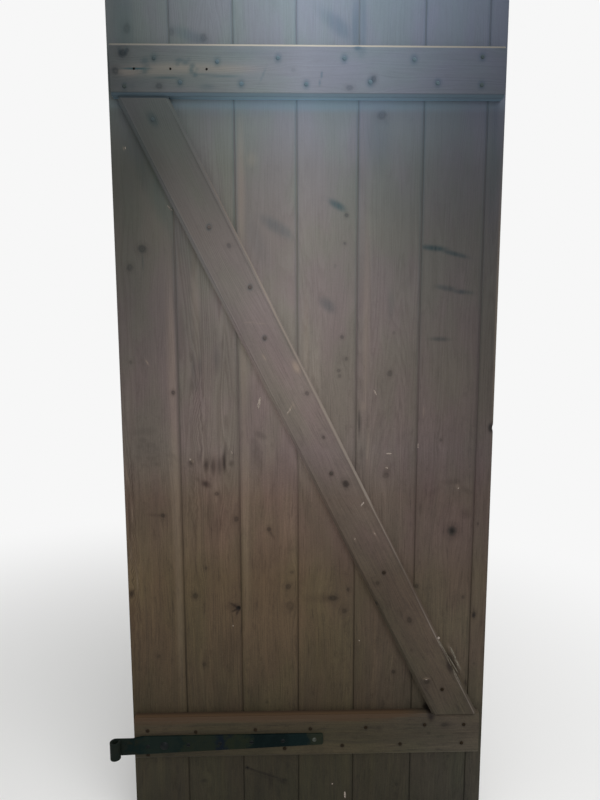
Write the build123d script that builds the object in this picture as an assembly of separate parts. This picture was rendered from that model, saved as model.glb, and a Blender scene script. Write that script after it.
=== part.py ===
# A ledged and braced barn door leaf with its lower strap hinge.
# The origin is the centre of the hinge eye. +X runs across the leaf to its closing edge,
# +Y from the ledge side to the weather side, and +Z up the pin.
from build123d import *
from math import atan2, cos, degrees, hypot, sin, tan, radians
import os

# Boards: what each one covers, from the hinge side to the closing side
BOARD_COVERS = (128, 132, 132, 131, 139, 135, 38)
DOOR_HEIGHT = 2000
BOARD_THICKNESS = 22
JOINT_GAP = 2
TONGUE_LENGTH = 8
TONGUE_THICKNESS = 6
GROOVE_CLEARANCE = 0.3
GROOVE_SPARE_DEPTH = 1.5
LEDGE_SIDE_ARRIS = 1
WEATHER_SIDE_BEVEL = 3

# Ledges and brace
LEDGE_WIDTH = 101
LEDGE_THICKNESS = 24
LEDGE_CHAMFER = 6
TOP_LEDGE_INSETS = (11, 11)
BOTTOM_LEDGE_INSETS = (7, 15)
BOTTOM_LEDGE_RISE = 211
TOP_LEDGE_DROP = 204
BRACE_WIDTH = 96
BRACE_THICKNESS = 24
BRACE_CHAMFER = 7
BRACE_TOP_GAP = 6
BRACE_TOP_INSET = 76
BRACE_FOOT_INSET = 74
CHIP_LENGTH = 15
CHIP_DEPTH = 5
CHIP_PLACES = (0.927, 0.965)

# Strap hinge
PIN_OFFSET = 35
EYE_RISE = 245
EYE_BORE_RADIUS = 7
EYE_HEIGHT = 41
STRAP_THICKNESS = 5
STRAP_REACH = 485
STRAP_HEEL_LIFT = 5.5
STRAP_HEEL_START = 38
STRAP_HEEL_END = 62
STRAP_TIP_WIDTH = 27
STRAP_TIP_RADIUS = 5
STRAP_EDGE_BEVEL = 0.8
ROLL_END_GAP = 0.4

# Fixings of the strap, measured from the pin
HEEL_SCREW_PLACE = 74
BOLT_PLACE = 112
STRAP_SCREW_START = 168
STRAP_SCREW_COUNT = 5
STRAP_END_MARGIN = 21
SCREW_HEAD_RADIUS = 5
SCREW_SHANK_RADIUS = 2.3
SCREW_LENGTH = 27
SCREW_HEAD_RISE = 1
SCREW_HEAD_TOP_RADIUS = 3.4
SLOT_WIDTH = 1.2
SLOT_DEPTH = 1.3
BOLT_RADIUS = 4
BOLT_HEAD_RADIUS = 10
BOLT_HEAD_HEIGHT = 4.5
BOLT_NECK_LENGTH = 4.5
BOLT_END = 4
WASHER_RADIUS = 12
WASHER_THICKNESS = 1.8
NUT_ACROSS_FLATS = 13
NUT_HEIGHT = 6.5
OLD_HOLE_RADIUS = 2.5
OLD_HOLE_START = 60
OLD_HOLE_PITCH = 74
OLD_HOLE_COUNT = 3
OLD_HOLE_DEPTH = 20

# Wrought nails: hammered eight-sided heads on square shanks
NAIL_SIDE = 3
NAIL_HEAD_SIDES = 8
NAIL_HEAD_RADIUS = 4.5
NAIL_HEAD_THICKNESS = 1.4
NAIL_HEAD_TAPER = 50
CLENCH_LENGTH = 12
NAIL_POINT = 4
SEAT_CLEARANCE = 0.05
FIT_CLEARANCE = 0.15

# Nails of the top ledge: board number, share of the way across that board, share of the way up the ledge
TOP_LEDGE_NAILS = (
    ((1, 0.79, 0.7), (2, 0.77, 0.64), (3, 0.71, 0.72), (4, 0.75, 0.72), (5, 0.8, 0.71), (6, 0.84, 0.77))
    + ((1, 0.31, 0.16), (2, 0.19, 0.24), (3, 0.14, 0.22), (4, 0.15, 0.22), (5, 0.15, 0.27), (6, 0.16, 0.26))
    + ((6, 0.84, 0.23),)
)
# Nails of the bottom ledge: board number, share of the way across that board, and how much of the
# room above or below the strap's line is under the nail
BOTTOM_UPPER_NAILS = (
    ((1, 0.3, 0.23), (2, 0.17, 0.08), (3, 0.23, 0.17), (4, 0.21, 0.17), (5, 0.2, 0.2))
    + ((6, 0.21, 0.33), (6, 0.9, 0.3))
)
BOTTOM_LOWER_NAILS = ((1, 0.29, 0.88), (3, 0.75, 0.81), (4, 0.79, 0.83), (5, 0.79, 0.72), (6, 0.87, 0.6))
# Nails of the brace: share of the way down its centre line, share of its width off that line
BRACE_NAILS = (
    ((0.03, -0.02), (0.188, 0.02), (0.285, 0.23), (0.357, 0.01))
    + ((0.574, -0.03), (0.745, 0.02), (0.954, 0))
)
# How far a cutting shape runs past the face it opens
CUT_SPARE = 1

# Planes and places that follow from the sizes above
EYE_RADIUS = EYE_BORE_RADIUS + STRAP_THICKNESS
LEDGE_FACE = EYE_RADIUS
BOARD_BACK = LEDGE_FACE + LEDGE_THICKNESS
BOARD_FRONT = BOARD_BACK + BOARD_THICKNESS
STRAP_FACE = LEDGE_FACE - STRAP_THICKNESS
DOOR_WIDTH = sum(BOARD_COVERS)
DOOR_BOTTOM = -EYE_RISE
BOTTOM_LEDGE_BASE = DOOR_BOTTOM + BOTTOM_LEDGE_RISE
TOP_LEDGE_BASE = DOOR_BOTTOM + DOOR_HEIGHT - TOP_LEDGE_DROP - LEDGE_WIDTH
BRACE_FACE = BOARD_BACK - BRACE_THICKNESS
BRACE_FOOT = BOTTOM_LEDGE_BASE + LEDGE_WIDTH
BRACE_TOP = TOP_LEDGE_BASE - BRACE_TOP_GAP
BRACE_TOP_X = PIN_OFFSET + BRACE_TOP_INSET
BRACE_FOOT_X = PIN_OFFSET + DOOR_WIDTH - BRACE_FOOT_INSET
BRACE_RUN = BRACE_FOOT_X - BRACE_TOP_X
BRACE_DROP = BRACE_TOP - BRACE_FOOT
BRACE_LENGTH = hypot(BRACE_RUN, BRACE_DROP)
BRACE_LEAN = degrees(atan2(BRACE_RUN, BRACE_DROP))


def board_left(number):
    """X of the joint at the left of a board, counted from 1 at the hinge side."""
    return PIN_OFFSET + sum(BOARD_COVERS[: number - 1])


def prism_y(face_xz, y_from, y_to):
    """A flat outline drawn in X and Z, made solid from one Y to another."""
    return Pos(0, y_to, 0) * (Rot(90, 0, 0) * extrude(face_xz, y_to - y_from))


def peg(x, z, radius, y_from, y_to):
    """A round peg along Y, used for shanks and for the holes they go in."""
    centre = (y_from + y_to) / 2
    return Pos(x, centre, z) * (Rot(90, 0, 0) * Cylinder(radius, y_to - y_from))


def turned(points, x, z):
    """A turned piece: a half outline of (radius, Y) points spun about its own axis along Y."""
    half = make_face(Polyline([(radius, y) for radius, y in points], close=True))
    return Pos(x, 0, z) * revolve(half, Axis.Y)


# Boards


def board_outline(number):
    """Section of a board: groove at its left, tongue at its right, both with eased edges."""
    first = number == 1
    last = number == len(BOARD_COVERS)
    left = board_left(number) + (0 if first else JOINT_GAP / 2)
    right = board_left(number + 1) - (0 if last else JOINT_GAP / 2)
    middle = (BOARD_BACK + BOARD_FRONT) / 2
    back, front = BOARD_BACK, BOARD_FRONT
    arris, bevel = LEDGE_SIDE_ARRIS, WEATHER_SIDE_BEVEL
    points = [(left + arris, back), (right - arris, back), (right, back + arris)]
    if not last:
        near, far = middle - TONGUE_THICKNESS / 2, middle + TONGUE_THICKNESS / 2
        tip = right + TONGUE_LENGTH
        points += [(right, near), (tip, near), (tip, far), (right, far)]
    points += [(right, front - bevel), (right - bevel, front), (left + bevel, front), (left, front - bevel)]
    if not first:
        half = TONGUE_THICKNESS / 2 + GROOVE_CLEARANCE
        near, far = middle - half, middle + half
        floor = left + TONGUE_LENGTH - JOINT_GAP + GROOVE_SPARE_DEPTH
        points += [(left, far), (floor, far), (floor, near), (left, near)]
    points.append((left, back + arris))
    return make_face(Polyline(points, close=True))


def make_board(number):
    return Pos(0, 0, DOOR_BOTTOM) * extrude(board_outline(number), DOOR_HEIGHT)


# Ledges and brace


def batten_outline(width, thickness, chamfer_size):
    """Section of a ledge or brace: its back on the line v = 0, both face edges chamfered."""
    half = width / 2
    inner = half - chamfer_size
    shoulder = thickness - chamfer_size
    corners = [(-half, 0), (half, 0), (half, shoulder)]
    corners += [(inner, thickness), (-inner, thickness), (-half, shoulder)]
    return make_face(Polyline(corners, close=True))


def make_ledge(base, insets):
    """A ledge that stops short of the leaf's edges by an inset at each end."""
    start = Vector(PIN_OFFSET + insets[0], BOARD_BACK, base + LEDGE_WIDTH / 2)
    across = Plane(start, x_dir=(0, 0, 1), z_dir=(1, 0, 0))
    length = DOOR_WIDTH - sum(insets)
    return extrude(across * batten_outline(LEDGE_WIDTH, LEDGE_THICKNESS, LEDGE_CHAMFER), length)


def brace_point(down, across):
    """X and Z of a place on the brace, from its top end down and across to its upper edge."""
    lean = radians(BRACE_LEAN)
    x = BRACE_TOP_X + down * sin(lean) + across * cos(lean)
    z = BRACE_TOP - down * cos(lean) + across * sin(lean)
    return x, z


def make_brace():
    spare = BRACE_WIDTH * tan(radians(BRACE_LEAN))
    x, z = brace_point(-spare, 0)
    lean = radians(BRACE_LEAN)
    down = Vector(sin(lean), 0, -cos(lean))
    section_plane = Plane((x, BOARD_BACK, z), x_dir=(cos(lean), 0, sin(lean)), z_dir=down)
    section = batten_outline(BRACE_WIDTH, BRACE_THICKNESS, BRACE_CHAMFER)
    if section_plane.y_dir.Y > 0:
        section = mirror(section, Plane.XZ)
    bar = extrude(section_plane * section, BRACE_LENGTH + 2 * spare)
    reach = Rectangle(DOOR_WIDTH, BRACE_DROP)
    between = Pos(PIN_OFFSET + DOOR_WIDTH / 2, 0, (BRACE_TOP + BRACE_FOOT) / 2)
    brace = bar & (between * prism_y(reach, BRACE_FACE, BOARD_BACK))
    for place in CHIP_PLACES:
        brace -= chip(place)
    return brace


def chip(place):
    """A splinter broken out of the brace's upper arris."""
    x, z = brace_point(place * BRACE_LENGTH, BRACE_WIDTH / 2 - BRACE_CHAMFER / 2)
    wedge = Box(CHIP_DEPTH * 2, CHIP_DEPTH * 2, CHIP_LENGTH)
    return Pos(x, BRACE_FACE, z) * (Rot(0, -BRACE_LEAN, 0) * (Rot(0, 0, 45) * wedge))


# Strap hinge


def strap_edges(x):
    """Heights of the strap's straight top and sloping bottom at a distance from the pin."""
    top = EYE_HEIGHT / 2 + STRAP_HEEL_LIFT
    heel_bottom = -EYE_HEIGHT / 2
    tip_bottom = top - STRAP_TIP_WIDTH
    bottom = heel_bottom + (tip_bottom - heel_bottom) * x / STRAP_REACH
    return top, bottom


def fixing_line(x):
    """Height of the strap's holes, which run from the pin's centre to the middle of the tip."""
    return sum(strap_edges(STRAP_REACH)) / 2 * x / STRAP_REACH


def make_strap():
    top, heel_bottom = strap_edges(STRAP_HEEL_END)
    _, tip_bottom = strap_edges(STRAP_REACH)
    corners = [
        (0, EYE_HEIGHT / 2),
        (STRAP_HEEL_START, EYE_HEIGHT / 2),
        (STRAP_HEEL_END, top),
        (STRAP_REACH, top),
        (STRAP_REACH, tip_bottom),
        (0, -EYE_HEIGHT / 2),
    ]
    outline = make_face(Polyline(corners, close=True))
    outline = fillet(outline.vertices().group_by(Axis.X)[-1], STRAP_TIP_RADIUS)
    leaf = prism_y(outline, STRAP_FACE, LEDGE_FACE)
    face_edges = leaf.faces().sort_by(Axis.Y)[0].edges().filter_by(lambda e: e.center().X > 1)
    leaf = chamfer(face_edges, STRAP_EDGE_BEVEL)
    return leaf + make_eye()


def make_eye():
    """The strap's end rolled once round the pin, its tail closing on the strap's face."""
    tail_y = STRAP_FACE - ROLL_END_GAP
    tail_x = (EYE_RADIUS**2 - tail_y**2) ** 0.5
    ring = Circle(EYE_RADIUS) - Circle(EYE_BORE_RADIUS)
    opening = Polyline([(0, 0), (2 * tail_x, 2 * tail_y), (0, 2 * EYE_RADIUS)], close=True)
    roll = ring - make_face(opening)
    return Pos(0, 0, -EYE_HEIGHT / 2) * extrude(roll, EYE_HEIGHT)


# Fixings


def screw_neck():
    """Y where the countersunk head meets the shank."""
    return STRAP_FACE + SCREW_HEAD_RADIUS - SCREW_SHANK_RADIUS


def make_screw(x, z):
    """A wood screw with a raised countersunk slotted head, seated in the strap."""
    top = STRAP_FACE - SCREW_HEAD_RISE
    end = STRAP_FACE + SCREW_LENGTH
    points = [
        (0, top),
        (SCREW_HEAD_TOP_RADIUS, top),
        (SCREW_HEAD_RADIUS, STRAP_FACE),
        (SCREW_SHANK_RADIUS, screw_neck()),
        (SCREW_SHANK_RADIUS, end),
        (0, end),
    ]
    slot = Box(2 * SCREW_HEAD_RADIUS, 2 * SLOT_DEPTH, SLOT_WIDTH)
    return turned(points, x, z) - Pos(x, top, z) * slot


def screw_hole(x, z):
    """Countersink and shank hole that a strap screw fills."""
    head = SCREW_HEAD_RADIUS + SEAT_CLEARANCE
    shank = SCREW_SHANK_RADIUS + SEAT_CLEARANCE
    start = STRAP_FACE - CUT_SPARE
    end = STRAP_FACE + SCREW_LENGTH + SEAT_CLEARANCE
    points = [(0, start), (head, start), (head, STRAP_FACE), (shank, screw_neck()), (shank, end), (0, end)]
    return turned(points, x, z)


def make_bolt(x, z):
    """Coach bolt: a domed head, a square neck that the strap holds, and a plain shank."""
    rise = BOLT_HEAD_HEIGHT
    ball = (BOLT_HEAD_RADIUS**2 + rise**2) / (2 * rise)
    centre = STRAP_FACE + ball - rise
    dome = Pos(x, centre, z) * Sphere(ball)
    keep = Pos(x, STRAP_FACE - rise / 2, z) * Box(4 * ball, rise, 4 * ball)
    square = Box(2 * BOLT_RADIUS, BOLT_NECK_LENGTH, 2 * BOLT_RADIUS)
    neck = Pos(x, STRAP_FACE + BOLT_NECK_LENGTH / 2, z) * square
    end = BOARD_FRONT + WASHER_THICKNESS + NUT_HEIGHT + BOLT_END
    shank = peg(x, z, BOLT_RADIUS, STRAP_FACE, end)
    end_face = shank.faces().sort_by(Axis.Y)[-1]
    shank = chamfer(end_face.edges(), BOLT_RADIUS / 4)
    return (dome & keep) + neck + shank


def make_washer(x, z):
    ring = Circle(WASHER_RADIUS) - Circle(BOLT_RADIUS + FIT_CLEARANCE)
    return Pos(x, 0, z) * prism_y(ring, BOARD_FRONT, BOARD_FRONT + WASHER_THICKNESS)


def make_nut(x, z):
    """Hexagon nut with its outer corners turned off."""
    base = BOARD_FRONT + WASHER_THICKNESS
    top = base + NUT_HEIGHT
    corner = NUT_ACROSS_FLATS / 2 / cos(radians(30))
    ease = (corner - NUT_ACROSS_FLATS / 2) * tan(radians(30))
    hexagon = RegularPolygon(corner, 6) - Circle(BOLT_RADIUS + FIT_CLEARANCE)
    nut = Pos(x, 0, z) * prism_y(hexagon, base, top)
    flat = NUT_ACROSS_FLATS / 2
    turning = [(0, base), (corner, base), (corner, top - ease), (flat, top), (0, top)]
    return nut & turned(turning, x, z)


def make_nail(x, z, face):
    """A nail driven through ledge or brace and board, its point clenched down the grain."""
    half = NAIL_SIDE / 2
    outline = RegularPolygon(NAIL_HEAD_RADIUS, NAIL_HEAD_SIDES)
    head = extrude(outline, NAIL_HEAD_THICKNESS, taper=NAIL_HEAD_TAPER)
    head = Pos(0, face, 0) * (Rot(90, 0, 0) * head)
    start = face - NAIL_HEAD_THICKNESS / 2
    outer = BOARD_FRONT + NAIL_SIDE
    side = [
        (start, half),
        (outer - half, half),
        (outer, -half),
        (outer, -CLENCH_LENGTH),
        (BOARD_FRONT, -CLENCH_LENGTH - NAIL_POINT),
        (BOARD_FRONT, -half),
        (start, -half),
    ]
    shank = extrude(Plane.YZ * make_face(Polyline(side, close=True)), half, both=True)
    return Pos(x, 0, z) * (head + shank)


def nail_hole(x, z, face):
    """The square hole that a nail's shank fills, through to the weather side."""
    width = NAIL_SIDE + 2 * SEAT_CLEARANCE
    start = face - CUT_SPARE
    end = BOARD_FRONT + CUT_SPARE
    return Pos(x, (start + end) / 2, z) * Box(width, end - start, width)


def on_board(number, across):
    """X of a place on a board, as a share of the way across it."""
    return board_left(number) + across * BOARD_COVERS[number - 1]


def between(low, high, share):
    """Height of a nail whose head has its place in the room between two edges."""
    return low + NAIL_HEAD_RADIUS + share * (high - low - 2 * NAIL_HEAD_RADIUS)


def upper_nail(number, across, share):
    """X and Z of a nail over the strap's upper edge."""
    x = on_board(number, across)
    return x, between(strap_edges(x)[0], BRACE_FOOT, share)


def lower_nail(number, across, share):
    """X and Z of a nail under the line of the strap's lower edge."""
    x = on_board(number, across)
    return x, between(BOTTOM_LEDGE_BASE, strap_edges(x)[1], share)


def drilled(solid, holes):
    """A solid with each hole that reaches it cut out."""
    box = solid.bounding_box()
    for hole in holes:
        other = hole.bounding_box()
        clear_x = other.max.X < box.min.X or other.min.X > box.max.X
        clear_z = other.max.Z < box.min.Z or other.min.Z > box.max.Z
        if not (clear_x or clear_z):
            solid = solid - hole
    return solid


def as_compound(solids):
    return Compound(children=list(solids))


top_nails = [
    (on_board(number, across), TOP_LEDGE_BASE + up * LEDGE_WIDTH) for number, across, up in TOP_LEDGE_NAILS
]
bottom_nails = [upper_nail(*nail) for nail in BOTTOM_UPPER_NAILS]
bottom_nails += [lower_nail(*nail) for nail in BOTTOM_LOWER_NAILS]
brace_nails = [brace_point(down * BRACE_LENGTH, across * BRACE_WIDTH) for down, across in BRACE_NAILS]

screw_pitch = (STRAP_REACH - STRAP_END_MARGIN - STRAP_SCREW_START) / (STRAP_SCREW_COUNT - 1)
screw_row = [STRAP_SCREW_START + screw_pitch * i for i in range(STRAP_SCREW_COUNT)]
screws = [(x, fixing_line(x)) for x in [HEEL_SCREW_PLACE] + screw_row]
bolt = (BOLT_PLACE, fixing_line(BOLT_PLACE))
old_row = [PIN_OFFSET + OLD_HOLE_START + OLD_HOLE_PITCH * i for i in range(OLD_HOLE_COUNT)]
old_level = TOP_LEDGE_BASE + LEDGE_WIDTH / 2
old_end = LEDGE_FACE + OLD_HOLE_DEPTH
old_holes = [peg(x, old_level, OLD_HOLE_RADIUS, LEDGE_FACE - CUT_SPARE, old_end) for x in old_row]

screw_holes = [screw_hole(x, z) for x, z in screws]
bolt_hole = peg(*bolt, BOLT_RADIUS + SEAT_CLEARANCE, STRAP_FACE - CUT_SPARE, BOARD_FRONT + CUT_SPARE)
neck_side = 2 * (BOLT_RADIUS + SEAT_CLEARANCE)
neck_hole = Box(neck_side, 2 * STRAP_THICKNESS, neck_side)
neck_hole = Pos(bolt[0], STRAP_FACE + BOLT_NECK_LENGTH / 2, bolt[1]) * neck_hole
top_nail_holes = [nail_hole(x, z, LEDGE_FACE) for x, z in top_nails]
bottom_nail_holes = [nail_hole(x, z, LEDGE_FACE) for x, z in bottom_nails]
brace_nail_holes = [nail_hole(x, z, BRACE_FACE) for x, z in brace_nails]
wood_holes = top_nail_holes + bottom_nail_holes + screw_holes + old_holes + [bolt_hole]

parts = {}
for number in range(1, len(BOARD_COVERS) + 1):
    parts[f"board_{number}"] = drilled(make_board(number), wood_holes + brace_nail_holes)
parts["top_ledge"] = drilled(make_ledge(TOP_LEDGE_BASE, TOP_LEDGE_INSETS), wood_holes)
parts["bottom_ledge"] = drilled(make_ledge(BOTTOM_LEDGE_BASE, BOTTOM_LEDGE_INSETS), wood_holes)
parts["brace"] = drilled(make_brace(), brace_nail_holes)
parts["strap_hinge"] = drilled(make_strap(), screw_holes + [bolt_hole, neck_hole])
parts["strap_bolt"] = make_bolt(*bolt)
parts["strap_bolt_washer"] = make_washer(*bolt)
parts["strap_bolt_nut"] = make_nut(*bolt)
parts["strap_screws"] = as_compound(make_screw(x, z) for x, z in screws[:-1])
parts["strap_end_screw"] = make_screw(*screws[-1])
parts["top_ledge_nails"] = as_compound(make_nail(x, z, LEDGE_FACE) for x, z in top_nails)
parts["bottom_ledge_nails"] = as_compound(make_nail(x, z, LEDGE_FACE) for x, z in bottom_nails)
parts["brace_nails"] = as_compound(make_nail(x, z, BRACE_FACE) for x, z in brace_nails)

os.makedirs("parts", exist_ok=True)
for name, shape in parts.items():
    export_step(shape, f"parts/{name}.step")
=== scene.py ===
from math import cos, hypot, radians, sin

import bmesh
import bpy
import numpy as np
from mathutils import Matrix, Vector


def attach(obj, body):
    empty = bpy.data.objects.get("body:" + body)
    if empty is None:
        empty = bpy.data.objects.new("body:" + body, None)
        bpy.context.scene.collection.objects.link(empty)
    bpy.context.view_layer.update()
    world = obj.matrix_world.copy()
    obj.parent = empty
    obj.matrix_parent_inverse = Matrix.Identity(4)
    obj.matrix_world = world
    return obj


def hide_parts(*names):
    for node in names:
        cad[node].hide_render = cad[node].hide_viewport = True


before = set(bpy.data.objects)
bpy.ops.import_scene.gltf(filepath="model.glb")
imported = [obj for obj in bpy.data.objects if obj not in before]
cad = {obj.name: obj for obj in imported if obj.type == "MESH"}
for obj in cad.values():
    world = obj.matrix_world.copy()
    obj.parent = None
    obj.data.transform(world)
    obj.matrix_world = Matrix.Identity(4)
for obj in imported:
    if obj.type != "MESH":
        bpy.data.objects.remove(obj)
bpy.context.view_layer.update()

# Boards
# Six tongue-and-groove boards and a ripped strip of old softwood stand side by side and make the leaf.
# Each is sawn to its own section, with eased edges at the joints, and runs the whole height of the door.
MM = 0.001
# How near a point lies to a face that it belongs to
SLACK = 0.1
DOOR_LEFT = 35
DOOR_FOOT = -245
DOOR_HEIGHT = 2000
LEDGE_SIDE = 36
WEATHER_SIDE = 58
BOARD_COVERS = (128, 132, 132, 131, 139, 135, 38)
DOOR_RIGHT = DOOR_LEFT + sum(BOARD_COVERS)
JOINT_GAP = 2
ARRIS = 1
WEATHER_BEVEL = 3
TONGUE = 8
TONGUE_HALF = 3
GROOVE_HALF = 3.3
GROOVE_FLOOR = 7.5
BOARD_ROW = 3
WEATHER_COLUMN = 8

# Knots: X and Z of the middle, half of the size across and along the grain, and how dark they are
BOARD_KNOTS = {
    1: (
        (78, 1587, 8, 12, 0.35), (94, 1144, 10, 10, 0.6), (66, 1105, 8, 9, 0.45), (151, 832, 5, 6, 0.7),
        (120, 551, 5, 6, 0.6), (42, 365, 4, 6, 0.6), (60, 900, 4, 5, 0.3), (100, 210, 5, 6, 0.4),
    ),
    2: (
        (169, 1582, 6, 10, 0.3), (235, 1571, 9, 9, 0.35), (187, 674, 5, 6, 0.3), (220, 668, 5, 5, 0.2),
        (217, 624, 5, 6, 0.4), (243, 601, 6, 6, 0.6), (287, 541, 6, 8, 0.6), (189, 358, 7, 8, 0.6),
        (215, 425, 4, 5, 0.5), (206, 188, 5, 6, 0.5), (200, -112, 7, 6, 0.5), (288, 327, 6, 6, 0.94),
    ),
    3: (
        (361, 516, 6, 7, 0.6), (405, 378, 7, 8, 0.6), (408, 330, 11, 13, 0.45), (413, 413, 5, 5, 0.4),
        (303, -80, 4, 4, 0.9), (394, -114, 6, 5, 0.5), (352, 90, 4, 5, 0.4),
    ),
    4: (
        (526, 954, 5, 5, 0.45), (536, 906, 4, 5, 0.4), (519, 880, 5, 5, 0.4), (521, 868, 5, 5, 0.35),
        (509, 348, 13, 7, 0.7), (535, 316, 7, 7, 0.6), (544, 368, 4, 7, 0.6), (534, 1215, 5, 5, 0.5),
        (531, 1156, 4, 4, 0.4), (512, 700, 4, 5, 0.3), (510, 1108, 4, 6, 0.15),
    ),
    5: (
        (608, 1420, 11, 10, 0.4), (633, 873, 7, 8, 0.45), (653, 162, 5, 6, 0.7), (630, 379, 4, 5, 0.5),
        (666, -132, 5, 5, 0.4), (628, 640, 9, 8, 0.4), (641, 963, 4, 5, 0.25),
    ),
    6: (
        (783, 508, 12, 13, 1), (704, 375, 5, 6, 0.6), (814, 347, 4, 5, 0.5), (752, 722, 4, 5, 0.4),
        (790, -60, 5, 5, 0.3), (740, 250, 4, 4, 0.3),
    ),
    7: ((841, 302, 5, 9, 0.9), (843, 524, 3, 5, 0.5), (846, 180, 3, 4, 0.4)),
}
# Rotten hollows: board, X, Z, half across, half along, depth
HOLLOWS = ((6, 738, 70, 12, 8, 4), (2, 288, 327, 5, 4, 3), (3, 303, -80, 3, 3, 2))
# The bite in the closing edge: Z, half along, depth, and how far in it runs out
EDGE_BITE = (749, 6, 2, 8)
# How the grain wanders up a board: how far, over what length, and how much each piece's wave is shifted
GRAIN_WANDER = ((2.5, 140, 2), (1.0, 47, 5))
# Lenses of wavy grain: X, Z, half across, half along, how far it swings, how much more plainly it shows
WAVY_GRAIN = ((48, 440, 15, 250, 2, 0.55), (203, 800, 17, 120, 1.5, 0.26), (190, 575, 15, 90, 1.8, 0.3))
# Their waves: length, how far they wander, over what lengths up and across the board, and their slant
WAVE_LENGTH, WAVE_WANDER, WANDER_UP, WANDER_ACROSS, WAVE_SLANT = 5.0, 3, 41, 17, 9
# How much the grain bends round a knot, and how many times the knot's size that reaches
KNOT_BEND, BEND_ACROSS, BEND_ALONG = 0.75, 2.6, 6
NO_KNOT = 6.0
# How far apart two pieces' figures lie, across and along the grain
GRAIN_SHIFT = (3, 1.7)
# Dark stains and smears, and the brace's painted shadow on the boards beside it: X and Z of the middle,
# half length, half width, lean off the upright, strength
BRACE_SHADOW = (
    (135, 1252, 190, 25, 26.4, 0.24), (246, 1040, 90, 9, 26.4, 0.06), (475, 535, 330, 30, 26.4, 0.17),
)
BOARD_STAINS = {
    1: (
        (70, 1560, 240, 22, 0, 0.2), (44, 530, 80, 3, 0, 0.4), (95, 1116, 20, 1.5, 0, 0.4),
        (165, 1222, 14, 7, 0, 0.5), (105, 552, 22, 4, 85, 0.35), (90, 700, 26, 10, 80, 0.2),
        (82, 745, 30, 9, 95, 0.18), (55, 660, 60, 6, 0, 0.2), (42, 365, 12, 7, 0, 0.5),
        (140, 690, 20, 6, 80, 0.14), (70, 1180, 160, 30, 0, 0.1), (79, 726, 11, 7, 80, 0.25),
        (74, 710, 12, 8, 85, 0.22), (97, 714, 14, 8, 82, 0.26), (108, 706, 10, 7, 90, 0.2),
        (69, 686, 12, 7, 80, 0.22), (97, 685, 16, 7, 86, 0.25), (85, 668, 12, 7, 85, 0.2),
        (108, 671, 11, 7, 85, 0.2), (86, 696, 44, 30, 80, 0.14), (54, 610, 40, 2, 3, 0.35),
        (40, 480, 60, 2, -2, 0.35), (58, 330, 50, 2, 2, 0.25), (90, 1412, 60, 17, 24, 0.4),
    ),
    2: (
        (198, 883, 30, 6, 0, 0.28), (212, 890, 26, 5, 0, 0.26), (250, 905, 30, 8, 0, 0.24),
        (200, 850, 18, 14, 0, 0.2), (186, 671, 9, 7, 10, 0.5), (206, 684, 16, 4, 0, 0.3),
        (221, 667, 17, 7, -8, 0.55), (237, 664, 22, 6, 0, 0.75), (250, 665, 24, 5, 0, 0.7),
        (262, 676, 28, 4.5, -2, 0.85), (277, 671, 7, 7, 90, 0.5), (246, 668, 24, 26, 0, 0.25),
        (219, 624, 14, 8, 62, 0.6), (206, 632, 16, 5, 62, 0.3), (172, 660, 60, 6, 0, 0.15),
        (205, 1575, 40, 12, 70, 0.25), (238, 640, 44, 12, 90, 0.12), (250, 536, 14, 2, 4, 0.5),
        (279, 333, 14, 3, 58, 1.1), (281, 322, 11, 2.5, 113, 1.0), (286, 317, 9, 2.5, 158, 1.0),
        (289, 326, 6, 5, 0, 1.4), (272, 330, 16, 9, 90, 0.3), (214, 1150, 40, 8, 0, 0.2),
        (225, 560, 60, 4, 0, 0.2), (192, 480, 70, 3, 0, 0.2), (183, 640, 40, 3, 0, 0.25),
    ),
    3: (
        (384, 1190, 40, 13, 58, 0.3), (367, 504, 14, 3, 30, 0.55), (346, -97, 50, 2.2, 70, 1.0),
        (358, -112, 26, 5, 0, 0.45), (310, -83, 16, 2.5, 70, 1.0), (340, -103, 34, 6, 72, 0.3),
        (386, -118, 14, 5, 60, 0.5), (340, 1160, 60, 20, 20, 0.12), (330, -130, 36, 10, 0, 0.25),
        (336, 690, 40, 12, 10, 0.3), (345, 735, 16, 8, 60, 0.35), (330, 720, 12, 7, 20, 0.3),
        (420, 700, 40, 5, 0, 0.2), (400, 420, 60, 5, 0, 0.12),
    ),
    4: (
        (514, 1236, 20, 8, 60, 0.6), (512, 1598, 44, 16, 50, 0.27), (552, 1590, 60, 9, 0, 0.35),
        (494, 1024, 22, 12, 49, 0.34), (478, 348, 40, 12, 90, 0.25), (531, 330, 12, 22, 0, 0.2),
    ),
    5: (
        (567, 758, 30, 1.6, 0, 1.2), (616, 1404, 14, 8, 40, 0.15), (566, 1590, 80, 7, 0, 0.25),
        (570, 690, 14, 5, 0, 0.3), (630, 650, 10, 8, 0, 0.3), (600, 1370, 60, 30, 0, 0.15),
        (633, 1025, 32, 8, 0, 0.16),
    ),
    6: (
        (725, 1146, 30, 6, 84, 0.75), (770, 1134, 32, 5, 76, 0.6), (755, 1060, 24, 6, 80, 0.45),
        (790, 1052, 24, 5, 85, 0.5), (744, 949, 22, 5, 88, 0.5), (738, 72, 17, 11, 0, 1),
        (742, 604, 22, 7, 125, 0.2), (776, 624, 26, 7, 92, 0.22), (812, 604, 20, 7, 62, 0.2),
        (815, 548, 14, 12, 60, 0.3), (836, 526, 6, 5, 0, 0.4), (708, 560, 14, 3, 0, 0.4),
        (785, 194, 15, 4, 22, 0.9), (802, 172, 24, 2, 27, 0.6), (828, 130, 10, 4, 12, 0.8),
    ),
    7: ((866, 749, 11, 7, 0, 1.3), (850, 1300, 200, 12, 0, 0.2)),
}
# Painted teal shade on the boards under the top ledge: X and Z of the middle, half length, half width, lean,
# strength
TEAL_SHADE_MARKS = ((446, 1440, 400, 13, 90, 0.55), (300, 1434, 160, 16, 90, 0.2))
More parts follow.
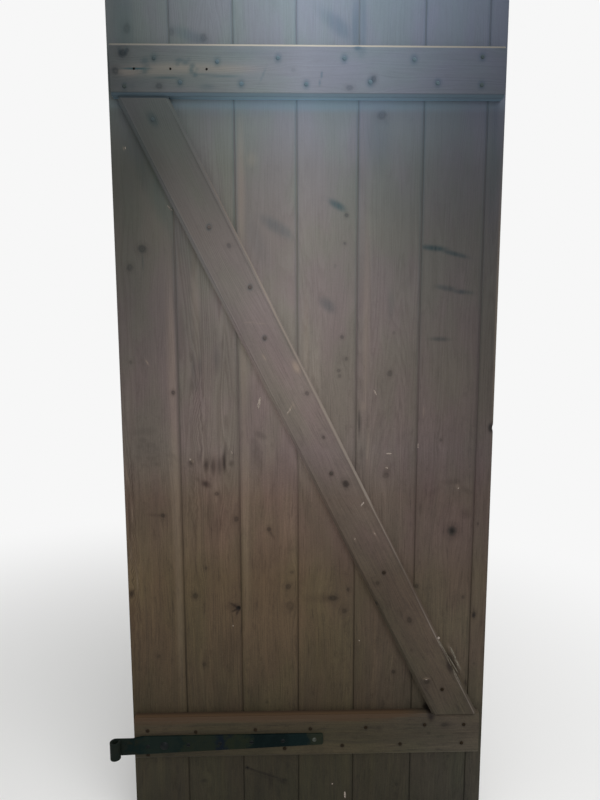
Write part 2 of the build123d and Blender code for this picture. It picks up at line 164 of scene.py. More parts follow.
# Patches painted darker, and lighter where the value is below 0; the one high on the closing side is
# painted shade under the top ledge: X, Z, half across, half along, how much darker
DARKER_PATCHES = (
    (765, 1290, 110, 260, 0.32), (225, 735, 90, 130, -0.1), (150, 1500, 150, 60, 0.05),
    (860, -150, 90, 260, -0.22), (361, -100, 60, 110, 0.2), (627, 540, 50, 50, -0.1),
    (627, 390, 50, 60, 0.15), (110, 1640, 150, 130, 0.12), (85, 1310, 70, 90, 0.27),
    (229, 1420, 70, 60, 0.1), (627, 1250, 70, 120, 0.1), (361, 1035, 60, 60, -0.12),
    (229, 1035, 60, 60, -0.08), (99, 560, 60, 60, 0.14), (229, 393, 60, 70, 0.13),
    (850, 330, 60, 300, -0.13), (763, 220, 60, 90, -0.12),
)
# Paler worn stripes and specks, given as the stains are
BOARD_PALE = {
    1: (
        (150, 900, 160, 11, 0, 0.14), (151, 640, 220, 11, 0, 0.15), (152, 380, 240, 9, 0, 0.1),
        (50, 560, 30, 1.6, 2, 0.16), (45, 470, 40, 1.6, -3, 0.14), (56, 400, 40, 1.6, 3, 0.14),
        (43, 640, 26, 2, 8, 0.14), (63, 1351, 4, 2, 0, 0.2), (99, 1370, 5, 1.6, -20, 0.2),
        (156, 1229, 6, 2.5, 40, 0.2), (96, 900, 7, 1.6, 30, 0.3),
    ),
    2: ((240, 640, 60, 10, 0, 0.1), (205, 1050, 120, 8, 0, 0.1), (190, 676, 5, 2, 30, 0.4)),
    3: (
        (308, 1270, 130, 9, 0, 0.16), (308, 900, 120, 9, 0, 0.12), (308, 560, 240, 10, 0, 0.09),
        (330, 1330, 14, 12, 0, 0.1), (370, 700, 40, 20, 0, 0.06),
    ),
    4: ((410, 1130, 80, 5, 0, 0.12), (447, 960, 80, 7, 0, 0.1), (530, 660, 50, 10, 0, 0.1)),
    5: (
        (630, 658, 4, 4, 0, 0.2), (580, 1000, 200, 8, 0, 0.1), (575, 800, 12, 10, 0, 0.1),
        (586, 700, 50, 5, 0, 0.1),
    ),
    6: (
        (711, 786, 12, 2, 0, 0.15), (794, 612, 7, 5, 40, 0.12), (789, 214, 18, 5, 25, 0.22),
        (805, 182, 20, 4, 27, 0.2),
    ),
    7: ((868, 1000, 300, 2, 0, 0.2),),
}
# How plainly the growth rings of each board show
BOARD_FIGURES = (0.16, 0.32, 0.13, 0.11, 0.18, 0.14, 0.18)
# The dirt along a joint's arris, given as a stain is but for its X
DIRTY_ARRIS = (755, 1200, 4, 0, 0.26)
# How pale each board has weathered on its far side
WEATHER_TONES = (1.02, 0.9, 1.08, 0.94, 1.12, 0.92, 1.0)


def placed(name, data):
    """A new object in the scene."""
    thing = bpy.data.objects.new(name, data)
    bpy.context.scene.collection.objects.link(thing)
    return thing


def finished(shape, name):
    """The worked shape as an object in the scene."""
    mesh = bpy.data.meshes.new(name)
    shape.to_mesh(mesh)
    shape.free()
    return placed(name, mesh)


def saw(name, corners, fine_edges, run, rows):
    """A length of timber: the section's corners joined to a face, its long edges divided, and the
    face drawn out along the run and divided into rows."""
    shape = bmesh.new()
    ring = [shape.verts.new(Vector(corner) * MM) for corner in corners]
    sides = [shape.edges.new((ring[i - 1], ring[i])) for i in range(len(ring))]
    for number, cuts in fine_edges.items():
        bmesh.ops.subdivide_edges(shape, edges=[sides[number]], cuts=cuts)
    bmesh.ops.contextual_create(shape, geom=shape.edges[:])
    grown = bmesh.ops.extrude_face_region(shape, geom=shape.faces[:])
    moved = [part for part in grown["geom"] if isinstance(part, bmesh.types.BMVert)]
    bmesh.ops.translate(shape, verts=moved, vec=Vector(run) * MM)
    far = set(moved)
    along = [edge for edge in shape.edges if (edge.verts[0] in far) != (edge.verts[1] in far)]
    bmesh.ops.subdivide_edges(shape, edges=along, cuts=rows - 1)
    bmesh.ops.recalc_face_normals(shape, faces=shape.faces[:])
    return finished(shape, name)


def places(piece):
    """The piece's vertices as rows of X, Y and Z in millimetres."""
    flat = np.empty(len(piece.data.vertices) * 3, np.float32)
    piece.data.vertices.foreach_get("co", flat)
    return flat.reshape(-1, 3).astype(float) / MM


def move_to(piece, points):
    """Puts the piece's vertices at these places."""
    piece.data.vertices.foreach_set("co", (points * MM).astype(np.float32).ravel())
    piece.data.update()


def shares(value, low, high):
    """The value's place between low and high, kept within 0 and 1."""
    return np.clip((value - low) / (high - low), 0, 1)


def read_off(values, rows):
    """What each value gives, read off rows of value and result."""
    return np.interp(values, *zip(*rows))


def store(piece, name, values):
    """Keeps one number, or three, for each vertex under a name that the material reads."""
    kind, field = ("FLOAT", "value") if values.ndim == 1 else ("FLOAT_VECTOR", "vector")
    layer = piece.data.attributes.new(name, kind, "POINT")
    layer.data.foreach_set(field, values.astype(np.float32).ravel())


def marked(x, z, marks):
    """How strongly long marks with soft edges cover each place."""
    cover = np.zeros(len(x))
    for mark_x, mark_z, half_length, half_width, lean, strength in marks:
        turn = radians(lean)
        dx, dz = x - mark_x, z - mark_z
        down = (dx * sin(turn) - dz * cos(turn)) / half_length
        aside = (dx * cos(turn) + dz * sin(turn)) / half_width
        cover = np.maximum(cover, strength * np.exp(-((down**2 + aside**2) ** 1.5)))
    return cover


# Painted glare: the ledge side is painted paler in the middle and darker towards both sides, more so
# higher up: its middle, half width and depth, and the heights between which the sides darken at the hinge
# side and at the closing side
GLARE_MIDDLE = 445
GLARE_HALF_WIDTH = 425
GLARE_DEPTH = 0.7
GLARE_RISE_LEFT = (200, 1250)
GLARE_RISE_RIGHT = (-50, 1000)
# The figure fades towards the top under the painted glare, in rows of height and value
FIGURE_SHOWN = ((1100, 1), (1400, 0.35))
# Painted light just under the top ledge, which pales the ledge's shadow on the boards: its height, how far
# down it reaches, how much paler
LIGHT_UNDER_LEDGE = (1450, 15, 0.5)
# The brace's head and foot and its width, and the painted light that pales the brace's shadow on the
# boards: how much paler it paints the boards below and above the brace, in rows of height and value, and
# how far out it reaches
BRACE_HEAD = (111, 1444)
BRACE_FOOT = (796, 67)
BRACE_WIDTH = 96
PALER_BELOW = (
    (67, 0), (107, 0.33), (200, 0.33), (650, 1.1), (1250, 1.1), (1380, 0.55), (1434, 0.55), (1450, 0),
)
PALER_ABOVE = ((67, 0), (107, 0.18), (1150, 0.18), (1380, 0))
BELOW_REACH, ABOVE_REACH = 14, 30


def light_by_brace(x, z):
    """How much paler the boards are painted beside the brace, painted light on its shadow."""
    run_x, run_z = BRACE_FOOT[0] - BRACE_HEAD[0], BRACE_HEAD[1] - BRACE_FOOT[1]
    off = ((x - BRACE_HEAD[0]) * run_z + (z - BRACE_HEAD[1]) * run_x) / hypot(run_x, run_z)
    away = np.maximum(abs(off) - BRACE_WIDTH / 2, 0)
    below = read_off(z, PALER_BELOW) * np.exp(-away / BELOW_REACH) * (off < 0)
    above = read_off(z, PALER_ABOVE) * np.exp(-away / ABOVE_REACH) * (off > 0)
    return below + above


def season(
    piece, grain, knots, stains_and_shade, pale, wear_and_highlight, figure, seed, tone=1.0, teal_shade=0.0, runs=(), weather_tone=1.0
):
    """Stores how the grain runs, waves and bends round the knots, and where the wood is knotty, stained, in
    painted shadow, pale, worn, painted with a highlight and in painted teal shade, and how much its dust,
    tone, painted glare and painted light and shade lighten and darken it."""
    x, y, z = places(piece).T
    on_ledge_side = (y < (LEDGE_SIDE + WEATHER_SIDE) / 2).astype(float)
    on_board = (y > LEDGE_SIDE - 1) * on_ledge_side
    across, along = x * grain[1] - z * grain[0], x * grain[0] + z * grain[1]
    bent = across
    for width, length, start in GRAIN_WANDER:
        bent = bent + width * np.sin(along / length + start * seed)
    plain = figure * read_off(z, FIGURE_SHOWN)
    wave = z / WAVE_LENGTH + WAVE_WANDER * np.sin(z / WANDER_UP + x / WANDER_ACROSS) + x / WAVE_SLANT
    for lens_x, lens_z, half_across, half_along, swing_width, plainer in WAVY_GRAIN:
        lens = np.exp(-(((x - lens_x) / half_across) ** 2) - ((z - lens_z) / half_along) ** 2)
        lens = lens * (y > LEDGE_SIDE - 1)
        bent = bent + swing_width * lens * np.sin(wave)
        plain = plain + plainer * lens

    knot, dark = np.full(len(x), NO_KNOT), np.zeros(len(x))
    for knot_x, knot_z, half_across, half_along, strength in knots:
        dx, dz = x - knot_x, z - knot_z
        aside, down = dx * grain[1] - dz * grain[0], dx * grain[0] + dz * grain[1]
        reach = (aside / (BEND_ACROSS * half_across)) ** 2 + (down / (BEND_ALONG * half_along)) ** 2
        bent = bent - KNOT_BEND * aside * np.exp(-reach)
        away = np.hypot(aside / half_across, down / half_along)
        dark = np.where(away < knot, strength, dark)
        knot = np.minimum(knot, away)

    # Painted glare: paler in the middle of the ledge side, darker towards its sides, more so higher up
    side = np.clip(abs(x - GLARE_MIDDLE) / GLARE_HALF_WIDTH, 0, 1)
    rise = np.where(x < GLARE_MIDDLE, shares(z, *GLARE_RISE_LEFT), shares(z, *GLARE_RISE_RIGHT))
    dust_and_painted_light = tone * (1 - GLARE_DEPTH * side * rise * rise * (3 - 2 * rise) * on_ledge_side)
    dust_and_painted_light = np.where(on_ledge_side > 0, dust_and_painted_light, weather_tone)
    # Patches painted darker and lighter, some of them painted shade
    for spot_x, spot_z, half_across, half_along, darker in DARKER_PATCHES:
        reach = ((x - spot_x) / half_across) ** 2 + ((z - spot_z) / half_along) ** 2
        dust_and_painted_light = dust_and_painted_light * (1 - darker * np.exp(-reach) * on_ledge_side)
    # Painted light pales the shadows on the boards under the top ledge and beside the brace
    ledge_z, reach_down, paler = LIGHT_UNDER_LEDGE
    dust_and_painted_light = dust_and_painted_light * (1 + paler * np.exp(-(((z - ledge_z) / reach_down) ** 2)) * on_board)
    dust_and_painted_light = dust_and_painted_light * (1 + light_by_brace(x, z) * on_board)

    shift_across, shift_along = GRAIN_SHIFT
    figure_place = (bent * MM + shift_across * seed, y * MM, along * MM + shift_along * seed)
    layers = {
        "grain": np.stack(figure_place, 1),
        "knot": knot,
        "dark": dark,
        # Stains with the brace's painted shadow, painted teal shade, and wear with painted highlights
        "stain_and_shade": np.where(on_ledge_side > 0, np.clip(marked(x, z, stains_and_shade), 0, 1), marked(x, z, runs)),
        "teal_shade": np.clip(marked(x, z, TEAL_SHADE_MARKS) + teal_shade, 0, 1) * on_board + teal_shade,
        "pale": marked(x, z, pale) * on_ledge_side,
        "wear_and_highlight": wear_and_highlight,
        "dust_and_painted_light": dust_and_painted_light,
        "figure": plain,
    }
    for name, values in layers.items():
        store(piece, name, values)


def put(tree, socket, value):
    """Joins another node's socket to this one, or sets it to a plain value."""
    if isinstance(value, bpy.types.NodeSocket):
        tree.links.new(value, socket)
    else:
        socket.default_value = value


def node(tree, kind, inputs=None, **settings):
    """A shader node with its settings made and its inputs put in."""
    made = tree.nodes.new(f"ShaderNode{kind}")
    for name, value in settings.items():
        setattr(made, name, value)
    for name, value in (inputs or {}).items():
        put(tree, made.inputs[name], value)
    return made


def sums(tree, operation, first, second=0.0, third=0.0):
    return node(tree, "Math", {0: first, 1: second, 2: third}, operation=operation).outputs[0]


def times(tree, first, *others):
    for other in others:
        first = sums(tree, "MULTIPLY", first, other)
    return first


def between(tree, value, low, high, low_result=0.0, high_result=1.0):
    """The value's place between low and high, eased at both ends."""
    inputs = {"Value": value, 1: low, 2: high, 3: low_result, 4: high_result}
    return node(tree, "MapRange", inputs, interpolation_type="SMOOTHSTEP").outputs["Result"]


def blended(tree, factor, first, second, blend="MIX"):
    """Two colours mixed by a factor."""
    made = node(tree, "Mix", data_type="RGBA", blend_type=blend)
    for socket, value in ((0, factor), (6, first), (7, second)):
        put(tree, made.inputs[socket], value)
    return made.outputs[2]


def glazed(tree, factor, colour, glaze):
    """A colour under a thin glaze, which darkens it by a factor."""
    return blended(tree, factor, colour, glaze, "MULTIPLY")


def shaded(tree, colour, share):
    """A colour made darker or lighter by a share."""
    grey = node(tree, "CombineColor", {0: share, 1: share, 2: share}).outputs[0]
    return glazed(tree, 1.0, colour, grey)


def noise(tree, vector, stretch, detail=2.0, roughness=0.5):
    """Noise whose features are 1/stretch metres long in each direction."""
    scaled = node(tree, "VectorMath", {0: vector, 1: stretch}, operation="MULTIPLY").outputs[0]
    inputs = {"Vector": scaled, "Scale": 1.0, "Detail": detail, "Roughness": roughness}
    return node(tree, "TexNoise", inputs).outputs["Fac"]


def swing(tree, value, amount, liveliness=1.0):
    """A factor that swings about 1 with a noise."""
    off_middle = times(tree, sums(tree, "SUBTRACT", value, 0.5), 2 * amount)
    return sums(tree, "MULTIPLY_ADD", off_middle, liveliness, 1.0)


def tint(red, green, blue):
    """A colour written in steps of 0 to 255, as the shader wants it."""
    return tuple(((step / 255 + 0.055) / 1.055) ** 2.4 for step in (red, green, blue)) + (1.0,)


# Tints of the dusty ledge side by height: darker brown towards the foot, mauve-grey above, and at the top a
# pale blue that is painted glare
HEIGHT_AND_GLARE_TINTS = (
    (-245, tint(41, 38, 27)),
    (-40, tint(49, 44, 31)),
    (130, tint(63, 53, 38)),
    (400, tint(84, 70, 52)),
    (590, tint(98, 82, 71)),
    (700, tint(108, 97, 92)),
    (880, tint(115, 105, 101)),
    (1180, tint(116, 112, 111)),
    (1310, tint(113, 114, 118)),
    (1420, tint(119, 125, 138)),
    (1755, tint(130, 143, 163)),
)
MAUVE = (1.035, 0.98, 1.0, 1)
OLIVE = (0.975, 1.015, 0.94, 1)
HINGE_SIDE_GLARE = (1.0, 0.97, 0.8, 1)
CLOSING_SIDE_GLARE = (0.96, 1.0, 1.04, 1)
CLOSING_SIDE_SHADE = (0.96, 1.03, 1.28, 1)
LATE_WOOD = (0.42, 0.36, 0.34, 1)
LOW_HEART = (0.22, 0.2, 0.19, 1)
HEART_IN_GLARE = (0.14, 0.22, 0.28, 1)
MOULDY_HEART = (0.4, 0.46, 0.46, 1)
KNOT_HALO = (0.6, 0.58, 0.58, 1)
LOW_STAIN_AND_SHADE = (0.24, 0.18, 0.17, 1)
STAIN_AND_SHADE_IN_GLARE = (0.03, 0.34, 0.48, 1)
DIRT_SHADE = (0.45, 0.43, 0.44, 1)
TEAL_SHADE_TINT = tint(101, 127, 143)
PALE_TINT = tint(158, 140, 122)
WORN_AND_HIGHLIGHT_TINT = tint(166, 162, 152)
WEATHERED_TINT = tint(104, 96, 86)
# Heights in metres between which stains and knot hearts take the painted glare's teal, the wood's
# unevenness calms down under the glare, and its sides take the glare's warmer and cooler tints
GLARE_TINT_RISE = (0.55, 1.3)
CALM_RISE = (-0.15, 1.5, 1.75, 0.3)
SIDES_RISE, SIDES_SPAN = (0.9, 1.4), (0.02, 0.85)
# The cool shade low on the closing side: where it ends above, how it leans, and where it starts across
COOL_FALL, COOL_LEAN, COOL_SPAN = (0.42, 0.8, 1.0, 0.0), 0.35, (0.54, 0.78)
# Depths in metres between which the ledge side's tint gives way to the weathered side's
WEATHERED_DEPTHS = (0.044, 0.052)
YEAR_RINGS = 30.0
# How far out a knot's halo, heart and pith reach, in its own half sizes, and how ragged their edges are
HALO_REACH, HEART_REACH, PITH_REACH, KNOT_RAGGED = (2.4, 0.9), (1.15, 0.6), (0.55, 0.3), 0.6


def height_tint(tree, height):
    """The wood's tint at a height in metres, with the painted glare at the top."""
    low, high = HEIGHT_AND_GLARE_TINTS[0][0], HEIGHT_AND_GLARE_TINTS[-1][0]
    share = node(tree, "MapRange", {"Value": height, 1: low * MM, 2: high * MM}).outputs["Result"]
    ramp = node(tree, "ValToRGB", {"Fac": share})
    stops = ramp.color_ramp.elements
    for place, colour in HEIGHT_AND_GLARE_TINTS[1:-1]:
        stops.new((place - low) / (high - low)).color = colour
    stops[0].color = HEIGHT_AND_GLARE_TINTS[0][1]
    stops[-1].color = HEIGHT_AND_GLARE_TINTS[-1][1]
    return ramp.outputs["Color"]


def new_finish(name):
    """A new material with its node tree and the place in the object that its nodes read."""
    material = bpy.data.materials.new(name)
    material.use_nodes = True
    tree = material.node_tree
    return material, tree, node(tree, "TexCoord").outputs["Object"]


def lay_on(tree, colour, roughness, relief, strength, depth, specular, metallic=0.0):
    """Gives the material's shader its colour, its fine relief and its gloss."""
    bump = node(tree, "Bump", {"Height": relief, "Strength": strength, "Distance": depth})
    inputs = tree.nodes["Principled BSDF"].inputs
    put(tree, inputs["Base Color"], colour)
    put(tree, inputs["Roughness"], roughness)
    put(tree, inputs["Specular IOR Level"], specular)
    put(tree, inputs["Metallic"], metallic)
    put(tree, inputs["Normal"], bump.outputs["Normal"])


def old_pine(name, worn_and_highlight_tint=WORN_AND_HIGHLIGHT_TINT, wear_and_highlight_start=0.35):
    """Dusty old softwood whose figure, fibres, knots and stains follow the piece's own grain."""
    material, tree, spot = new_finish(name)

    def kept(layer, socket="Fac"):
        return node(tree, "Attribute", attribute_name=layer).outputs[socket]

    grain = kept("grain", "Vector")
    parts = node(tree, "SeparateXYZ", {0: spot})
    aside, height = parts.outputs["X"], parts.outputs["Z"]

    wander = noise(tree, grain, (60, 60, 5), 2.0)
    growth = sums(tree, "MULTIPLY_ADD", wander, 0.05, noise(tree, grain, (15, 15, 0.8), 2.0, 0.45))
    year = sums(tree, "FRACT", times(tree, growth, YEAR_RINGS))
    late = times(tree, between(tree, year, 0.2, 0.8), between(tree, year, 1.0, 0.85))
    fibres = noise(tree, grain, (620, 620, 12), 3.0, 0.65)
    streaks = noise(tree, grain, (120, 120, 2.4), 4.0, 0.6)
    bands = noise(tree, grain, (30, 30, 0.7), 2.0, 0.5)
    clouds = noise(tree, grain, (16, 16, 6), 4.0, 0.6)
    hues = noise(tree, grain, (11, 11, 4.5), 3.0, 0.55)
    flecks = between(tree, noise(tree, grain, (300, 300, 16), 2.0, 0.6), 0.55, 0.75)
    dirt = between(tree, noise(tree, grain, (70, 70, 26), 4.0, 0.7), 0.5, 0.78)
    grit = noise(tree, spot, (300, 300, 300), 3.0, 0.7)
    # Painted glare: higher up, stains and knot hearts turn teal and the wood's unevenness calms down
    glare = between(tree, height, *GLARE_TINT_RISE)
    lively = between(tree, height, *CALM_RISE)

    # The tint by height carries the painted glare at the top; towards the top the hinge side is painted
    # warmer and the closing side cooler
    colour = height_tint(tree, height)
    sides = blended(tree, between(tree, aside, *SIDES_SPAN), HINGE_SIDE_GLARE, CLOSING_SIDE_GLARE)
    colour = blended(tree, between(tree, height, *SIDES_RISE), colour, glazed(tree, 1.0, colour, sides))
    cool = between(tree, sums(tree, "MULTIPLY_ADD", height, COOL_LEAN, aside), *COOL_SPAN)
    cool = times(tree, cool, between(tree, height, *COOL_FALL))
    colour = blended(tree, cool, colour, glazed(tree, 1.0, colour, CLOSING_SIDE_SHADE))
    colour = blended(tree, between(tree, parts.outputs["Y"], *WEATHERED_DEPTHS), colour, WEATHERED_TINT)
    colour = glazed(tree, 1.0, colour, blended(tree, between(tree, hues, 0.35, 0.65), MAUVE, OLIVE))
    showing = times(tree, late, kept("figure"), between(tree, bands, 0.3, 0.65, 0.4, 1.0))
    colour = glazed(tree, showing, colour, LATE_WOOD)
    # Dust, tone, painted glare and painted light and shade, stored on the piece, lighten and darken the wood
    shade = kept("dust_and_painted_light")
    for unevenness, amount in ((fibres, 0.2), (streaks, 0.2), (bands, 0.12), (clouds, 0.22), (grit, 0.2)):
        shade = times(tree, shade, swing(tree, unevenness, amount, lively))
    colour = shaded(tree, colour, shade)
    for specks in (flecks, dirt):
        colour = glazed(tree, times(tree, specks, lively, 0.35), colour, DIRT_SHADE)

    colour = blended(tree, times(tree, kept("pale"), swing(tree, streaks, 0.5)), colour, PALE_TINT)
    # Stains, with the painted shadows given among them
    smear_and_shade = times(tree, kept("stain_and_shade"), swing(tree, streaks, 0.7), swing(tree, fibres, 0.3))
    colour = glazed(tree, smear_and_shade, colour, blended(tree, glare, LOW_STAIN_AND_SHADE, STAIN_AND_SHADE_IN_GLARE))

    knot_edge = noise(tree, grain, (260, 260, 160), 2.0)
    inside = sums(tree, "SUBTRACT", kept("knot"), KNOT_RAGGED / 2)
    ragged = sums(tree, "MULTIPLY_ADD", knot_edge, KNOT_RAGGED, inside)
    halo = times(tree, between(tree, ragged, *HALO_REACH), kept("dark"))
    colour = glazed(tree, times(tree, halo, 0.5), colour, KNOT_HALO)
    heart = times(tree, between(tree, ragged, *HEART_REACH), kept("dark"))
    rings = between(tree, sums(tree, "SINE", times(tree, ragged, 15.0)), -1.0, 1.0, 0.75, 1.0)
    core = blended(tree, glare, LOW_HEART, HEART_IN_GLARE)
    core = blended(tree, between(tree, kept("dark"), 0.95, 1.0), core, MOULDY_HEART)
    colour = glazed(tree, times(tree, heart, rings), colour, core)
    pith = times(tree, between(tree, ragged, *PITH_REACH), between(tree, kept("dark"), 0.7, 0.95, 0.0, 0.8))
    colour = glazed(tree, pith, colour, LOW_HEART)

    # Wear and painted highlights, in the worn tint
    rub_and_highlight = times(tree, kept("wear_and_highlight"), swing(tree, streaks, 0.55), swing(tree, clouds, 0.45))
    worn_and_lit = between(tree, rub_and_highlight, wear_and_highlight_start, wear_and_highlight_start + 0.45)
    colour = blended(tree, worn_and_lit, colour, shaded(tree, worn_and_highlight_tint, kept("dust_and_painted_light")))
    # Painted teal shade
    teal_shade = shaded(tree, TEAL_SHADE_TINT, sums(tree, "POWER", kept("dust_and_painted_light"), 0.7))
    colour = blended(tree, kept("teal_shade"), colour, teal_shade)

    relief = sums(tree, "MULTIPLY_ADD", late, 0.4, times(tree, fibres, 0.5))
    relief = sums(tree, "MULTIPLY_ADD", grit, 0.15, relief)
    relief = sums(tree, "SUBTRACT", relief, times(tree, heart, 0.3))
    roughness = sums(tree, "MULTIPLY_ADD", streaks, 0.25, 0.66)
    lay_on(tree, colour, roughness, relief, strength=0.5, depth=0.0006, specular=0.25)
    return material


def board_corners(number, left, right):
    """Section of a board at the door's foot, from the left arris of its ledge side round to its groove."""
    first, last = number == 1, number == len(BOARD_COVERS)
    middle = (LEDGE_SIDE + WEATHER_SIDE) / 2
    points = [(left + ARRIS, LEDGE_SIDE), (right - ARRIS, LEDGE_SIDE), (right, LEDGE_SIDE + ARRIS)]
    if not last:
        points += [(right, middle - TONGUE_HALF), (right + TONGUE, middle - TONGUE_HALF)]
        points += [(right + TONGUE, middle + TONGUE_HALF), (right, middle + TONGUE_HALF)]
    points += [(right, WEATHER_SIDE - WEATHER_BEVEL), (right - WEATHER_BEVEL, WEATHER_SIDE)]
    weather = len(points)
    points += [(left + WEATHER_BEVEL, WEATHER_SIDE), (left, WEATHER_SIDE - WEATHER_BEVEL)]
    if not first:
        points += [(left, middle + GROOVE_HALF), (left + GROOVE_FLOOR, middle + GROOVE_HALF)]
        points += [(left + GROOVE_FLOOR, middle - GROOVE_HALF), (left, middle - GROOVE_HALF)]
    points += [(left, LEDGE_SIDE + ARRIS)]
    return [(x, y, DOOR_FOOT) for x, y in points], weather


NAIL_PLACES = {
    "top_ledge": (
        (136, 1521), (265, 1515), (389, 1523), (525, 1523), (669, 1522), (810, 1528), (75, 1466),
        (188, 1474), (313, 1472), (447, 1472), (579, 1477), (719, 1476), (810, 1473),
    ),
    "bottom_ledge": (
        (73, 38), (185, 33), (325, 36), (455, 36), (586, 37), (725, 41), (818, 40), (72, -23), (394, -13),
        (530, -8), (668, -7), (814, -7),
    ),
    "brace": ((130, 1402), (241, 1186), (326, 1061), (356, 953), (502, 652), (623, 419), (764, 130)),
}
# Rain has drawn rust down the far side from each clenched nail
RUN_LENGTH, RUN_WIDTH, RUN_STRENGTH = 34, 3.5, 0.4
RUST_RUNS = tuple(
    (x, z - RUN_LENGTH, RUN_LENGTH, RUN_WIDTH, 0, RUN_STRENGTH)
    for ring in NAIL_PLACES.values()
    for x, z in ring
)

board_wood = old_pine("board_wood", worn_and_highlight_tint=tint(150, 138, 122), wear_and_highlight_start=0.5)
board_left = DOOR_LEFT
for number, cover in enumerate(BOARD_COVERS, 1):
    left = board_left + (0 if number == 1 else JOINT_GAP / 2)
    right = board_left + cover - (0 if number == len(BOARD_COVERS) else JOINT_GAP / 2)
    corners, weather = board_corners(number, left, right)
    fine = {1: int((right - left) / BOARD_ROW), weather: int((right - left) / WEATHER_COLUMN)}
    board = saw(f"old_board_{number}", corners, fine, (0, 0, DOOR_HEIGHT), DOOR_HEIGHT // BOARD_ROW)
    points = places(board)
    x, y, z = points.T
    stains_and_shade = BOARD_STAINS[number] + BRACE_SHADOW
    stains_and_shade += tuple((edge, *DIRTY_ARRIS) for edge in (left, right) if DOOR_LEFT < edge < DOOR_RIGHT)
    figure, weather_tone = BOARD_FIGURES[number - 1], WEATHER_TONES[number - 1]
    season(
        board, (0, 1), BOARD_KNOTS[number], stains_and_shade, BOARD_PALE[number], 0 * x, figure, number,
        runs=RUST_RUNS, weather_tone=weather_tone,
    )
    for hollow_board, hollow_x, hollow_z, half_across, half_along, depth in HOLLOWS:
        if hollow_board == number:
            reach = ((x - hollow_x) / half_across) ** 2 + ((z - hollow_z) / half_along) ** 2
            points[:, 1] += depth * np.exp(-(reach**2)) * (y < LEDGE_SIDE + SLACK)
    if number == len(BOARD_COVERS):
        bite_z, half_along, depth, runs_out = EDGE_BITE
        bite = np.exp(-(((z - bite_z) / half_along) ** 2)) * shares(y, WEATHER_SIDE, LEDGE_SIDE)
        points[:, 0] -= depth * bite * shares(x, right - runs_out, right)
    move_to(board, points)
    board.data.materials.append(board_wood)
    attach(board, "root")
    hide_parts(f"board_{number}")
    board_left += cover

# Joint dust
# Old dust and dirt have packed the open joints between the boards: nearly flush above, lower at the foot.
# Each joint has one narrow ribbon of it, which lies in the groove between two arrises.
DUST_RIBBON_HALF = 1.2
DUST_RIBBON_BACK = 41
DUST_FLUSH = 36.6
# Rows of height and of how far back the dust's open side lies there
DUST_FRONT = ((100, 38.4), (900, DUST_FLUSH))
DUST_RIBBON_ROW = 8
DUST_RIBBON_TONE = 0.72
RIBBON_SEED = 30

joint = DOOR_LEFT
for number, cover in enumerate(BOARD_COVERS[:-1], 1):
    joint += cover
    left, right = joint - DUST_RIBBON_HALF, joint + DUST_RIBBON_HALF
    corners = [
        (left, DUST_FLUSH, DOOR_FOOT),
        (right, DUST_FLUSH, DOOR_FOOT),
        (right, DUST_RIBBON_BACK, DOOR_FOOT),
        (left, DUST_RIBBON_BACK, DOOR_FOOT),
    ]
    ribbon = saw(f"packed_joint_{number}", corners, {}, (0, 0, DOOR_HEIGHT), DOOR_HEIGHT // DUST_RIBBON_ROW)
    points = places(ribbon)
    open_side = points[:, 1] < DUST_FLUSH + SLACK
    points[:, 1] = np.where(open_side, read_off(points[:, 2], DUST_FRONT), points[:, 1])
    move_to(ribbon, points)
    season(ribbon, (0, 1), (), (), (), np.zeros(len(points)), 0, RIBBON_SEED + number, DUST_RIBBON_TONE)
    ribbon.data.materials.append(board_wood)
    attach(ribbon, "root")

# Ledges
# Two softwood battens run across the boards and hold them together, nailed through.
# Each is planed, its long edges are chamfered, and it stops short of the leaf's sides.
LEDGE_FACE = 12
LEDGE_CHAMFER = 6
LEDGE_WIDTH = 101
LEDGE_ROW = 4
LEDGE_BOUNDS = {"top_ledge": (46, 859, 1450), "bottom_ledge": (42, 855, -34)}
LEDGE_FIGURE = 0.12
LEDGE_SEED = 11
# How worn each ledge is, and on the top ledge how bright its painted highlight is: its upper chamfer by X,
# the arris under it, and the upper streaks of its face by X. Then how pale: all of it by X, the top ledge
# darker towards its ends, away from the painted glare; its lower chamfer by X and its lower and upper sides
# by Y, painted lighter and darker as painted light and shade; and how much paler the low part of its face is
# by X. Last, how much painted teal shade the top ledge's lower chamfer takes
LEDGE_LOOKS = {
    "top_ledge": {
        "chamfer_scuff_and_highlight": ((0, 1.5),),
        "arris_scuff_and_highlight": 0.3,
        "streak_wear": ((0, 0),),
        "tone": ((60, 0.7), (320, 0.97), (600, 0.97), (850, 0.87)),
        "lower_chamfer": ((150, 1), (500, 1.1)),
        "lower_side": ((18, 1), (22, 2.25)),
        "upper_side": ((0, 1),),
        "low_face": ((0, 0),),
        "teal_shade": 0.7,
    },
    "bottom_ledge": {
        "chamfer_scuff_and_highlight": ((600, 0.95), (740, 0.38)),
        "arris_scuff_and_highlight": 0.35,
        "streak_wear": ((640, 0.55), (700, 0)),
        "tone": ((60, 0.98), (320, 1), (600, 1), (850, 1.1)),
        "lower_chamfer": ((150, 1), (500, 1.9)),
        "lower_side": ((0, 1),),
        "upper_side": ((17, 1), (22, 1.6), (25, 1.6), (33, 0.7)),
        "low_face": ((200, 0), (350, 0.3)),
        "teal_shade": 0.0,
    },
}
# How far below a ledge's top its streaks end and begin, and how far above its foot the low part of its face
STREAKS_BAND = (30, 8)
LOW_FACE_BAND = (60, 20)
SCREW_HOLES = ((95, 1500.5), (169, 1500.5), (243, 1500.5))
SCREW_HOLE_RADIUS = 2.5
SCREW_HOLE_DEPTH = 20
SCREW_HOLE_SIDES = 20
